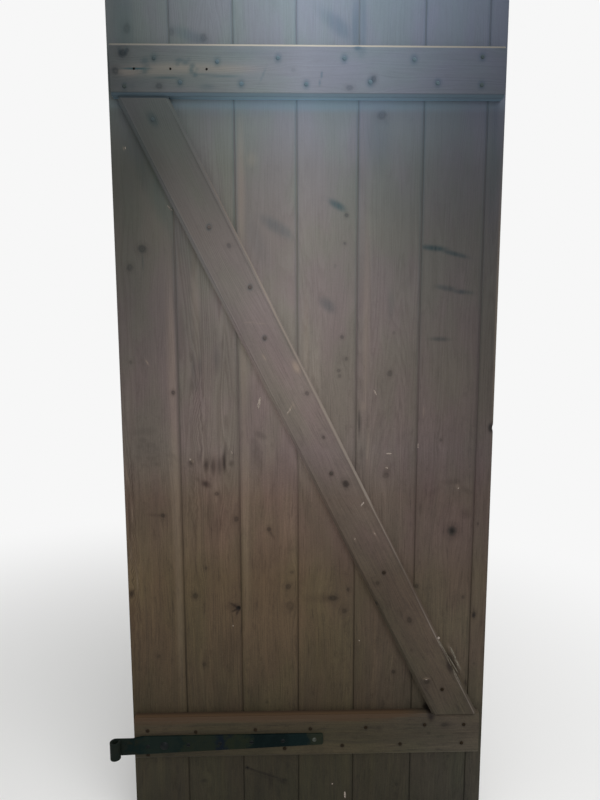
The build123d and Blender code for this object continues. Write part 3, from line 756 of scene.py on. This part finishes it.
# How deep into a screw hole its painted shade begins, and how dark it is
SCREW_HOLE_LIP, SCREW_HOLE_SHADE = 3, 0.3
LEDGE_KNOTS = {
    "top_ledge": (
        (73, 1530, 9, 10, 0.75), (82, 1535, 5, 6, 0.5), (57, 1496, 8, 8, 0.6), (145, 1467, 7, 8, 0.5),
        (536, 1466, 6, 9, 0.35), (586, 1483, 9, 7, 0.5), (420, 1500, 5, 5, 0.15),
    ),
    "bottom_ledge": (
        (617, 36, 5, 7, 0.35), (772, 41, 6, 9, 0.5), (590, 62, 4, 6, 0.7), (644, 64, 4, 8, 0.4),
        (735, 20, 4, 6, 0.4), (560, 10, 4, 6, 0.2), (480, -20, 5, 7, 0.2),
    ),
}
# The iron's stain round the nails: its half height, how dark it is, and its width for its height
NAIL_STAINS = {"top_ledge": (10, 0.42), "bottom_ledge": (6, 0.8), "brace": (7, 0.6)}
NAIL_STAIN_SHAPE = 0.8
LEDGE_STAINS_AND_SHADE = {
    "top_ledge": (
        (118, 1515, 7, 8, 20, 0.5), (122, 1507, 5, 6, 0, 0.35), (117, 1498, 8, 7, -15, 0.55),
        (125, 1501, 4, 5, 0, 0.4), (188, 1517, 9, 4, 90, 0.55), (200, 1513, 8, 5, 80, 0.55),
        (184, 1511, 5, 5, 0, 0.4), (207, 1518, 5, 4, 40, 0.3), (214, 1507, 6, 6, 0, 0.5),
        (212, 1497, 8, 5, 20, 0.55), (219, 1490, 6, 5, 60, 0.55), (223, 1500, 4, 4, 0, 0.3),
        (69, 1532, 11, 4.5, 19, 0.5), (79, 1532, 11, 4.5, -22, 0.5), (90, 1466, 10, 7, 90, 0.25),
        (98, 1500, 30, 1.8, 90, 0.8), (162, 1484, 28, 2.5, 90, 0.5), (262, 1488, 60, 2, 87, 0.4),
        (243, 1466, 16, 6, 90, 0.25), (553, 1549, 12, 9, 0, 0.6), (560, 1540, 14, 10, 0, 0.25),
        (100, 1470, 70, 12, 90, 0.12), (358, 1490, 16, 2, -25, 0.25), (330, 1532, 60, 10, 90, 0.1),
        (477, 1485, 16, 1.5, -12, 0.5),
    ),
    # On the bottom ledge the first mark, a dark line along the strap's top edge, is dirt and painted shadow
    "bottom_ledge": ((235, 31, 255, 4, 90, 0.1), (740, 66, 17, 8, 0, 1), (300, -30, 300, 4, 90, 0.2)),
}
LEDGE_PALE = {
    "top_ledge": (
        (150, 1499, 70, 12, 90, 0.15), (215, 1502, 120, 12, 90, 0.18), (275, 1501, 75, 9, 90, 0.2),
        (85, 1495, 26, 9, 90, 0.15), (146, 1505, 24, 7, 90, 0.12),
    ),
    "bottom_ledge": ((300, 60, 270, 3, 90, 0.08),),
}
ledge_woods = {
    "top_ledge": old_pine("ledge_wood", wear_and_highlight_start=0.3),
    "bottom_ledge": old_pine("low_ledge_wood", worn_and_highlight_tint=tint(60, 45, 30), wear_and_highlight_start=0.3),
}


def nail_stains(name):
    """The dark iron stain in the wood round each nail."""
    size, strength = NAIL_STAINS[name]
    return tuple((x, z, size, size * NAIL_STAIN_SHAPE, 0, strength) for x, z in NAIL_PLACES[name])


def bore(piece, holes, radius, depth, face):
    """Bores blind holes into the piece from its ledge side."""
    shape = bmesh.new()
    for x, z in holes:
        upright = Matrix.Translation(Vector((x, face, z)) * MM) @ Matrix.Rotation(radians(90), 4, "X")
        bmesh.ops.create_cone(
            shape, cap_ends=True, segments=SCREW_HOLE_SIDES, radius1=radius * MM, radius2=radius * MM,
            depth=2 * depth * MM, matrix=upright,
        )
    drill = finished(shape, "drill")
    cut = piece.modifiers.new("bore", "BOOLEAN")
    cut.object, cut.operation, cut.solver = drill, "DIFFERENCE", "EXACT"
    bpy.context.view_layer.update()
    piece.data = bpy.data.meshes.new_from_object(piece.evaluated_get(bpy.context.evaluated_depsgraph_get()))
    piece.modifiers.remove(cut)
    bpy.data.objects.remove(drill)


for seed, (name, (left, right, base)) in enumerate(LEDGE_BOUNDS.items(), LEDGE_SEED):
    shoulder = LEDGE_FACE + LEDGE_CHAMFER
    top = base + LEDGE_WIDTH
    upper, lower = top - LEDGE_CHAMFER, base + LEDGE_CHAMFER
    corners = [
        (left, LEDGE_SIDE, base),
        (left, LEDGE_SIDE, top),
        (left, shoulder, top),
        (left, LEDGE_FACE, upper),
        (left, LEDGE_FACE, lower),
        (left, shoulder, base),
    ]
    # Cuts in the section's sides, its upper chamfer, its face and its lower chamfer
    fine = {0: 3, 2: 3, 3: 2, 4: LEDGE_WIDTH // LEDGE_ROW, 5: 2}
    ledge = saw(f"old_{name}", corners, fine, (right - left, 0, 0), (right - left) // LEDGE_ROW)
    if name == "top_ledge":
        bore(ledge, SCREW_HOLES, SCREW_HOLE_RADIUS, SCREW_HOLE_DEPTH, LEDGE_FACE)
    x, y, z = places(ledge).T
    look = LEDGE_LOOKS[name]
    on_face = y < LEDGE_FACE + SLACK
    # Wear, and on the top ledge a painted highlight along the upper chamfer and the arris under it
    wear_and_highlight = read_off(x, look["chamfer_scuff_and_highlight"]) * (z > upper + SLACK)
    wear_and_highlight = np.where(on_face & (z > upper - SLACK), look["arris_scuff_and_highlight"], wear_and_highlight)
    streaks_foot, streaks_head = STREAKS_BAND
    streaks = read_off(x, look["streak_wear"]) * shares(z, top - streaks_foot, top - streaks_head)
    wear_and_highlight = np.maximum(wear_and_highlight, streaks * on_face) * (1 - marked(x, z, LEDGE_STAINS_AND_SHADE[name]))

    # Painted light and shade: the top ledge darker towards its ends, away from the painted glare; the lower
    # chamfers, the top ledge's underside and the bottom ledge's top painted paler against their shade;
    # painted shade inside the screw holes
    tone = read_off(x, look["tone"])
    tone = tone * np.where(z < lower - SLACK, read_off(x, look["lower_chamfer"]), 1)
    tone = tone * np.where(z < base + SLACK, read_off(y, look["lower_side"]), 1)
    tone = tone * np.where(z > top - SLACK, read_off(y, look["upper_side"]), 1)
    low_head, low_foot = LOW_FACE_BAND
    tone = tone * (1 + read_off(x, look["low_face"]) * shares(z, base + low_head, base + low_foot))
    within = (y < LEDGE_SIDE - SLACK) & (z > lower + SLACK) & (z < upper - SLACK)
    tone = tone * np.where(within & (y > LEDGE_FACE + SCREW_HOLE_LIP), SCREW_HOLE_SHADE, 1)
    stains_and_shade = LEDGE_STAINS_AND_SHADE[name] + nail_stains(name)
    # Painted teal shade on the top ledge's lower chamfer
    teal_shade = look["teal_shade"] * (z < lower - SLACK)
    season(ledge, (1, 0), LEDGE_KNOTS[name], stains_and_shade, LEDGE_PALE[name], wear_and_highlight, LEDGE_FIGURE, seed, tone, teal_shade)
    ledge.data.materials.append(ledge_woods[name])
    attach(ledge, "root")
    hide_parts(name)

# Brace
# One softwood batten rises from the foot of the closing side to the head of the hinge side and stops
# the leaf from sagging. It is chamfered like the ledges, nailed through, and splintered near its foot.
BRACE_CHAMFER = 7
BRACE_ROW = 3
BRACE_KNOTS = (
    (282, 1148, 5, 6, 0.4), (448, 832, 5, 6, 0.5), (484, 734, 4, 5, 0.6), (535, 628, 8, 10, 0.8),
    (609, 394, 5, 6, 0.5), (607, 344, 4, 5, 0.7), (684, 304, 7, 8, 0.6), (727, 151, 8, 8, 0.7),
    (690, 230, 4, 5, 0.3),
)
BRACE_STAINS = (
    (780, 186, 17, 6, 20, 1.0), (622, 540, 26, 4, 28, 0.7), (130, 1402, 16, 9, 30, 0.5),
    (824, 126, 13, 4, 24, 0.8), (803, 158, 20, 2, 27, 0.6), (768, 214, 24, 1.8, 25, 0.5),
)
BRACE_PALE = (
    (424, 890, 14, 7, 27, 0.4), (354, 912, 8, 1.5, 30, 0.35), (410, 796, 12, 1.3, -30, 0.35),
    (418, 806, 8, 1.3, 20, 0.3), (600, 512, 6, 2, 40, 0.2), (556, 499, 5, 2, 20, 0.2),
    (727, 158, 7, 3, 90, 0.25), (797, 206, 30, 6, 27, 0.4), (340, 985, 30, 1.2, 85, 0.15),
    (545, 770, 5, 1.5, 30, 0.2),
)
BRACE_FIGURE = 0.08
BRACE_SEED = 21
# Down the brace, in rows of height and value: its tone, darker towards its head; how much its lower chamfer
# is painted paler, as painted light against its shade, and how much painted teal shade it takes; and how
# dusky the lower half of its face
BRACE_TONE = ((1130, 1), (1400, 0.6))
CHAMFER_PALER = ((400, -0.05), (850, 0.45))
CHAMFER_TEAL_SHADE = ((950, 0), (1150, 0.12))
FACE_DUSK = ((180, 0), (320, 0.18), (700, 0.18), (850, 0))
# How far across the face, from the middle, the dusk sets in
DUSK_ACROSS = (22, -16)
# The upper chamfer is worn pale along a line, which is also a painted highlight: how far in it runs, its
# width and how plainly it shows
RUB_AND_HIGHLIGHT_LINE = ((260, 6), (420, 3.5), (1000, 3.5), (1110, 1))
RUB_AND_HIGHLIGHT_WIDTH = ((420, 3.2), (600, 2.3))
RUB_AND_HIGHLIGHT_SHOWS = (
    (200, 0.55), (400, 0.5), (540, 0.55), (650, 0.75), (900, 0.9), (1000, 0.85), (1250, 0.75), (1440, 0),
)
# Half way down the whole chamfer is worn pale and painted as a highlight, as far in as its arris
BROAD_RUB_AND_HIGHLIGHT = ((520, 0), (600, 0.7), (800, 0.7), (950, 0))
BROAD_RUB_AND_HIGHLIGHT_EDGE = (7.2, 4.5)
# Lines of painted shade beside the worn and highlighted line: how far in, how wide, and how dark by height
DARK_LINES = (
    (8, 1.8, ((800, 0.12), (950, 0.3), (1380, 0.3), (1440, 0))),
    (5, 1.6, ((520, 0.25), (600, 0))),
)

brace_wood = old_pine("brace_wood", worn_and_highlight_tint=tint(128, 118, 109), wear_and_highlight_start=0.3)

run_x, run_z = BRACE_FOOT[0] - BRACE_HEAD[0], BRACE_FOOT[1] - BRACE_HEAD[1]
brace_length = hypot(run_x, run_z)
grain = (run_x / brace_length, run_z / brace_length)
steepness = -grain[1]
half = BRACE_WIDTH / 2 / steepness
arris = BRACE_WIDTH / 2 - BRACE_CHAMFER
inner = arris / steepness
shoulder = LEDGE_FACE + BRACE_CHAMFER
head_x, head_z = BRACE_HEAD
corners = [
    (head_x - half, LEDGE_SIDE, head_z),
    (head_x + half, LEDGE_SIDE, head_z),
    (head_x + half, shoulder, head_z),
    (head_x + inner, LEDGE_FACE, head_z),
    (head_x - inner, LEDGE_FACE, head_z),
    (head_x - half, shoulder, head_z),
]
# Cuts in the section's sides, its upper chamfer, its face and its lower chamfer
fine = {0: 3, 2: 3, 3: 5, 4: BRACE_WIDTH // BRACE_ROW, 5: 2}
brace = saw("old_brace", corners, fine, (run_x, 0, run_z), int(brace_length / BRACE_ROW))
x, y, z = places(brace).T
aside = (x - head_x) * steepness + (z - head_z) * grain[0]
in_from_edge = BRACE_WIDTH / 2 - aside
# Wear and a painted highlight along the upper chamfer
rub_and_highlight = np.exp(-(((in_from_edge - read_off(z, RUB_AND_HIGHLIGHT_LINE)) / read_off(z, RUB_AND_HIGHLIGHT_WIDTH)) ** 2))
broad_rub_and_highlight = read_off(z, BROAD_RUB_AND_HIGHLIGHT) * shares(in_from_edge, *BROAD_RUB_AND_HIGHLIGHT_EDGE)
wear_and_highlight = np.maximum(broad_rub_and_highlight, read_off(z, RUB_AND_HIGHLIGHT_SHOWS) * rub_and_highlight) * (y < shoulder + SLACK)
wear_and_highlight = wear_and_highlight * (1 - marked(x, z, BRACE_STAINS))
# Painted light on the lower chamfer, lines of painted shade, and painted teal shade
lower_chamfer = shares(-aside, arris - 1, arris + 1)
tone = read_off(z, BRACE_TONE) * (1 + lower_chamfer * read_off(z, CHAMFER_PALER))
dark_lines = 0
for line_in, width, rows in DARK_LINES:
    dark_lines = dark_lines + read_off(z, rows) * np.exp(-(((in_from_edge - line_in) / width) ** 2))
tone = tone * (1 - dark_lines) * (1 - read_off(z, FACE_DUSK) * shares(aside, *DUSK_ACROSS))
teal_shade = lower_chamfer * read_off(z, CHAMFER_TEAL_SHADE)
stains_and_shade = BRACE_STAINS + nail_stains("brace")
season(brace, grain, BRACE_KNOTS, stains_and_shade, BRACE_PALE, wear_and_highlight, BRACE_FIGURE, BRACE_SEED, tone, teal_shade)
brace.data.materials.append(brace_wood)
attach(brace, "root")
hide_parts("brace")

# Painted shade above the brace
# The brace has shrunk away from the top ledge, and the gap over its head is filled with a strip painted in
# dark teal shade. It is one flat strip that lies a little behind the chamfers.
HEAD_SHADE_LEFT, HEAD_SHADE_RIGHT = 60, 163
HEAD_SHADE_FRONT = 19
HEAD_SHADE_ROWS = 24
HEAD_SHADE_TONE, HEAD_SHADE_TEAL = 0.38, 0.5
HEAD_SHADE_SEED = 41

foot, top = BRACE_HEAD[1] + SLACK, LEDGE_BOUNDS["top_ledge"][2] - SLACK
corners = [
    (HEAD_SHADE_LEFT, LEDGE_SIDE - SLACK, foot),
    (HEAD_SHADE_LEFT, LEDGE_SIDE - SLACK, top),
    (HEAD_SHADE_LEFT, HEAD_SHADE_FRONT, top),
    (HEAD_SHADE_LEFT, HEAD_SHADE_FRONT, foot),
]
run = (HEAD_SHADE_RIGHT - HEAD_SHADE_LEFT, 0, 0)
filling = saw("brace_head_shade_strip", corners, {}, run, HEAD_SHADE_ROWS)
even = np.zeros(len(filling.data.vertices))
season(filling, (1, 0), (), (), (), even, 0, HEAD_SHADE_SEED, HEAD_SHADE_TONE, HEAD_SHADE_TEAL)
filling.data.materials.append(board_wood)
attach(filling, "root")

# Splashes and splinters
# Old splashes of limewash have dried on the boards and the brace, each a thin flat drop.
# Pale splinters stand off the brace's chamfer where it has been knocked near its foot.
DROP_THICKNESS = 0.35
SPLINTER_THICKNESS = 1.2
RAGGEDNESS = 0.12
DROP_SEED, SPLINTER_SEED = 5, 6
CRUST_ROUGHNESS = 0.85
# Drops and splinters: X, Z, the Y of the wood's face, half length, half width and lean off the upright
LIME_DROPS = (
    (342, 809, 36, 13, 3.2, -12), (601, 831, 36, 7, 1.6, 30), (634, 691, 36, 6, 1.6, 88),
    (630, 658, 36, 3, 1.2, 70), (700, 709, 36, 6, 0.9, 0), (795, 609, 36, 2, 0.9, -40),
    (540, -157, 36, 9, 2.2, 4), (509, -127, 36, 2, 1.6, 0), (279, 696, 36, 3, 1, 10),
    (406, 791, 12, 5, 0.9, -35), (572, 581, 12, 6, 1.7, -38), (410, 797, 12, 4, 0.9, 20),
    (753, 259, 12, 3.2, 2.4, 0), (727, 156, 12, 2.5, 0.8, 80), (185, 681, 36, 2.4, 1.6, 0),
    (275, 283, 36, 1.5, 0.9, 0), (571, 242, 36, 1.5, 0.9, 0), (601, 512, 12, 2, 0.8, 30),
    (556, 500, 12, 2, 0.8, -20), (153, 1232, 36, 4, 0.7, 42), (159, 1226, 36, 3, 0.6, 58),
    (66, 1352, 36, 3, 0.5, 12), (98, 1369, 36, 4, 0.5, 52),
)
SPLINTERS = (
    (756, 246, 14.5, 16, 1.2, 28), (768, 226, 16, 22, 1.1, 27), (780, 196, 15, 20, 1.0, 24),
    (790, 190, 17, 26, 1.2, 30), (800, 160, 15.5, 24, 1.0, 27), (811, 132, 17, 24, 1.1, 29),
    (822, 104, 16, 20, 1.0, 28), (776, 208, 13.5, 9, 1.0, 10), (793, 168, 13.5, 12, 0.8, 22),
    (806, 136, 13.2, 10, 0.8, 35), (791, 214, 25, 17, 2.4, 26), (802, 188, 26, 20, 2, 28),
)


def flat_bits(name, marks, thickness, seed):
    """Thin ragged bits lying on the wood."""
    chance = np.random.default_rng(seed)
    shape = bmesh.new()
    for x, z, face, half_length, half_width, lean in marks:
        place = Matrix.Translation(Vector((x, face, z)) * MM) @ Matrix.Rotation(radians(-lean), 4, "Y")
        size = Matrix.Diagonal((half_width * MM, thickness * MM, half_length * MM, 1))
        ball = bmesh.ops.create_icosphere(shape, subdivisions=3, radius=1.0, matrix=place @ size)
        for vert in ball["verts"]:
            vert.co += Vector(chance.normal(0, RAGGEDNESS, 3)) * half_width * MM
            vert.co.y = min(max(vert.co.y, (face - thickness) * MM), (face + thickness) * MM)
    bits = finished(shape, name)
    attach(bits, "root")
    return bits


def dry_crust(name, light, dark):
    """A dull crust mottled between two tints."""
    material, tree, spot = new_finish(name)
    mottle = noise(tree, spot, (500, 500, 300), 3.0, 0.6)
    colour = blended(tree, between(tree, mottle, 0.35, 0.65), dark, light)
    lay_on(tree, colour, CRUST_ROUGHNESS, mottle, strength=0.4, depth=0.0004, specular=0.2)
    return material


drops = flat_bits("lime_drops", LIME_DROPS, DROP_THICKNESS, DROP_SEED)
drops.data.materials.append(dry_crust("old_limewash", tint(168, 156, 146), tint(112, 102, 94)))
splinters = flat_bits("brace_splinters", SPLINTERS, SPLINTER_THICKNESS, SPLINTER_SEED)
splinters.data.materials.append(dry_crust("bare_splinter", tint(112, 106, 94), tint(82, 75, 65)))

# Strap hinge
# One forged iron strap, tapered from its rolled eye to its tip, lies over the bottom ledge.
# It keeps its solid's shape; the finish is old black oxide with rust and dust in the pits.
IRON_BLACK = tint(11, 23, 22)
IRON_RUST = tint(26, 28, 21)
IRON_DUST = tint(38, 44, 38)
IRON_IN_GLARE = tint(89, 107, 117)
IRON_BESIDE_GLARE = tint(48, 54, 53)
PALER_IRON = tint(100, 93, 90)
# Where iron is painted paler, in metres: high up it takes the painted glare, pale in the middle and darker to
# the sides, and lower down a warm paler tint. The middle of the glare and how far out it fades, and the
# heights between which the tint cools, the low paling sets in, and the high glare
IRON_GLARE_MIDDLE, IRON_GLARE_FADE = 0.47, (0.1, 0.42)
GLARE_COOLS, LOW_PALING, HIGH_GLARE, LOW_PALING_SHARE = (1.2, 1.42), (0.3, 0.95), (1.25, 1.42), 0.65
# Lengths of the strap that differ in finish: their ends along X in metres, and the tint
STRAP_PATCHES = (
    (-0.02, 0.02, tint(26, 30, 25)), (0.065, 0.14, tint(22, 30, 26)), (0.155, 0.235, tint(27, 32, 24)),
    (0.235, 0.262, tint(14, 20, 29)), (0.262, 0.31, tint(28, 33, 23)), (0.315, 0.41, tint(5, 16, 17)),
    (0.41, 0.45, tint(10, 23, 24)), (0.452, 0.5, tint(34, 37, 28)),
)
# How far the ends of those lengths wander, and how far on they start and end with it
PATCH_WANDER, PATCH_STARTS, PATCH_ENDS = 0.08, (0.028, 0.048), (0.032, 0.052)


def old_iron(
    name, black, rust, rust_start, roughness, metallic=0.0, paled=0.0, specular=0.12, patches=()
):
    """Old forged iron: black oxide, rust in blotches and fine pits, and where asked a paler tint lower down
    and the painted glare high up.
    """
    material, tree, spot = new_finish(name)
    blotch = noise(tree, spot, (70, 70, 70), 4.0, 0.65)
    pits = noise(tree, spot, (420, 420, 420), 4.0, 0.7)
    shade = blended(tree, between(tree, blotch, rust_start, rust_start + 0.2), black, rust)
    shade = blended(tree, between(tree, pits, 0.55, 0.85, 0.0, 0.3), shade, IRON_DUST)
    parts = node(tree, "SeparateXYZ", {0: spot})
    height = parts.outputs["Z"]
    aside = sums(tree, "ABSOLUTE", sums(tree, "SUBTRACT", parts.outputs["X"], IRON_GLARE_MIDDLE))
    # Painted glare on the iron high up, pale in the middle and darker to the sides, over a paler tint lower
    # down
    paling_tint = blended(tree, between(tree, aside, *IRON_GLARE_FADE), IRON_IN_GLARE, IRON_BESIDE_GLARE)
    paling_tint = blended(tree, between(tree, height, *GLARE_COOLS), PALER_IRON, paling_tint)
    low_paling = between(tree, height, *LOW_PALING, 0.0, LOW_PALING_SHARE * paled)
    high_glare = between(tree, height, *HIGH_GLARE, 0.0, paled)
    shade = blended(tree, sums(tree, "MAXIMUM", low_paling, high_glare), shade, paling_tint)
    wander = noise(tree, spot, (45, 45, 45), 4.0, 0.7)
    ragged = sums(tree, "MULTIPLY_ADD", wander, PATCH_WANDER, parts.outputs["X"])
    for start, end, patch in patches:
        starts = between(tree, ragged, *(start + past for past in PATCH_STARTS))
        ends = between(tree, ragged, *(end + past for past in PATCH_ENDS), 1.0, 0.0)
        uneven = between(tree, blotch, 0.3, 0.6, 0.5, 0.9)
        shade = blended(tree, times(tree, starts, ends, uneven), shade, patch)
    gloss = between(tree, blotch, 0.3, 0.7, roughness - 0.1, roughness + 0.15)
    dents = sums(tree, "MULTIPLY_ADD", pits, 0.4, blotch)
    lay_on(tree, shade, gloss, dents, strength=0.7, depth=0.0015, specular=specular, metallic=metallic)
    return material


def finish_node(name, material):
    """A CAD node keeps its shape and takes a material in every slot."""
    mesh = cad[name].data
    if not mesh.materials:
        mesh.materials.append(material)
    for index in range(len(mesh.materials)):
        mesh.materials[index] = material


black_iron = old_iron("black_iron", IRON_BLACK, IRON_RUST, 0.5, 0.6, specular=0.04, patches=STRAP_PATCHES)
finish_node("strap_hinge", black_iron)

# Bolt and screws of the strap
# A coach bolt goes through strap, ledge and board; the wood screws are driven into the ledge.
# All are dark and rusty but the newer screw at the tip.
dark_steel = old_iron("dark_steel", tint(10, 15, 16), tint(18, 21, 19), 0.55, 0.5)
bright_steel = old_iron(
    "bright_steel", tint(70, 74, 68), tint(48, 47, 40), 0.5, 0.5, metallic=0.3, specular=0.3
)
for name in ("strap_bolt", "strap_bolt_washer", "strap_bolt_nut", "strap_screws"):
    finish_node(name, dark_steel)
finish_node("strap_end_screw", bright_steel)

# Nails
# Square-shanked wrought nails hold ledges and brace, driven from this side and clenched on the other.
# Their heads have been hammered flat and have rusted dark.
# The nails take the paler tint lower down and the painted glare high up
nail_iron = old_iron("nail_iron", tint(32, 25, 16), tint(45, 35, 24), 0.55, 0.75, paled=1.0, specular=0.06)
for name in ("top_ledge_nails", "bottom_ledge_nails", "brace_nails"):
    finish_node(name, nail_iron)

# Floor and backdrop
# A plain pale floor under the leaf, which pales with distance into the even backdrop behind it.
FLOOR_HALF = 12
FLOOR_MIDDLE = 0.45
FLOOR_DROP = 0.0005
FLOOR_TINT, FLOOR_ROUGHNESS = (0.86, 0.86, 0.85, 1), 0.9
ROOM_TINT = (0.93, 0.93, 0.93, 1)
FLOOR_FADE = (0.6, 2.6)

ground = bmesh.new()
bmesh.ops.create_grid(ground, x_segments=1, y_segments=1, size=FLOOR_HALF)
bmesh.ops.translate(ground, verts=ground.verts[:], vec=(FLOOR_MIDDLE, 0, DOOR_FOOT * MM - FLOOR_DROP))
floor = finished(ground, "floor")
floor_paint, tree, spot = new_finish("floor_paint")
painted = tree.nodes["Principled BSDF"]
painted.inputs["Base Color"].default_value = FLOOR_TINT
painted.inputs["Roughness"].default_value = FLOOR_ROUGHNESS
away = node(tree, "VectorMath", {0: spot}, operation="LENGTH")
ray = node(tree, "LightPath")
seen_far = times(tree, between(tree, away.outputs["Value"], *FLOOR_FADE), ray.outputs["Is Camera Ray"])
bright = node(tree, "Emission", {"Color": ROOM_TINT, "Strength": 1.0})
mixed = node(tree, "MixShader", {0: seen_far, 1: painted.outputs[0], 2: bright.outputs[0]})
tree.links.new(mixed.outputs[0], tree.nodes["Material Output"].inputs["Surface"])
floor.data.materials.append(floor_paint)

# Light
# Soft light from all round, a wide lamp above on the closing side, and one overhead that catches the
# chamfers.
ROOM_LIGHT = 0.55
# Each lamp's place, what it is aimed at, its size and its power
LAMPS = {
    "side_lamp": ((1.7, -2.9, 2.6), (0.45, 0, 0.8), 3.0, 70),
    "overhead_lamp": ((0.7, -0.5, 3.4), (0.5, 0, 1.2), 1.4, 28),
}

world = bpy.data.worlds.new("room")
bpy.context.scene.world = world
world.use_nodes = True
tree = world.node_tree
tree.nodes.clear()
lit = node(tree, "Background", {"Color": (1, 1, 1, 1), "Strength": ROOM_LIGHT})
seen = node(tree, "Background", {"Color": ROOM_TINT, "Strength": 1.0})
ray = node(tree, "LightPath")
direct = sums(tree, "MAXIMUM", ray.outputs["Is Camera Ray"], ray.outputs["Is Transmission Ray"])
room = node(tree, "MixShader", {0: direct, 1: lit.outputs[0], 2: seen.outputs[0]})
node(tree, "OutputWorld", {"Surface": room.outputs[0]})

for name, (place, aim, size, power) in LAMPS.items():
    lamp = bpy.data.lights.new(name, "AREA")
    lamp.shape = "SQUARE"
    lamp.size = size
    lamp.energy = power
    holder = placed(name, lamp)
    towards = Vector(aim) - Vector(place)
    holder.matrix_world = Matrix.Translation(place) @ towards.to_track_quat("-Z", "Y").to_matrix().to_4x4()

# Camera
# It stands in front of the ledge side, a little above the middle, and looks slightly down.
EYE = (0.4026, -1.2935, 0.9822)
TURN, DIP, ROLL = 1.33, 7.18, -0.31
FOCAL_LENGTH, SENSOR_WIDTH = 27, 36
NEAREST_SEEN = 0.05

lens = bpy.data.cameras.new("camera")
lens.lens = FOCAL_LENGTH
lens.sensor_width = SENSOR_WIDTH
lens.clip_start = NEAREST_SEEN
camera = placed("camera", lens)
attitude = (
    Matrix.Rotation(radians(TURN), 4, "Z")
    @ Matrix.Rotation(radians(DIP), 4, "X")
    @ Matrix.Rotation(radians(ROLL), 4, "Y")
)
camera.matrix_world = Matrix.Translation(EYE) @ attitude.inverted() @ Matrix.Rotation(radians(90), 4, "X")
bpy.context.scene.camera = camera
bpy.context.scene.view_settings.view_transform = "Standard"
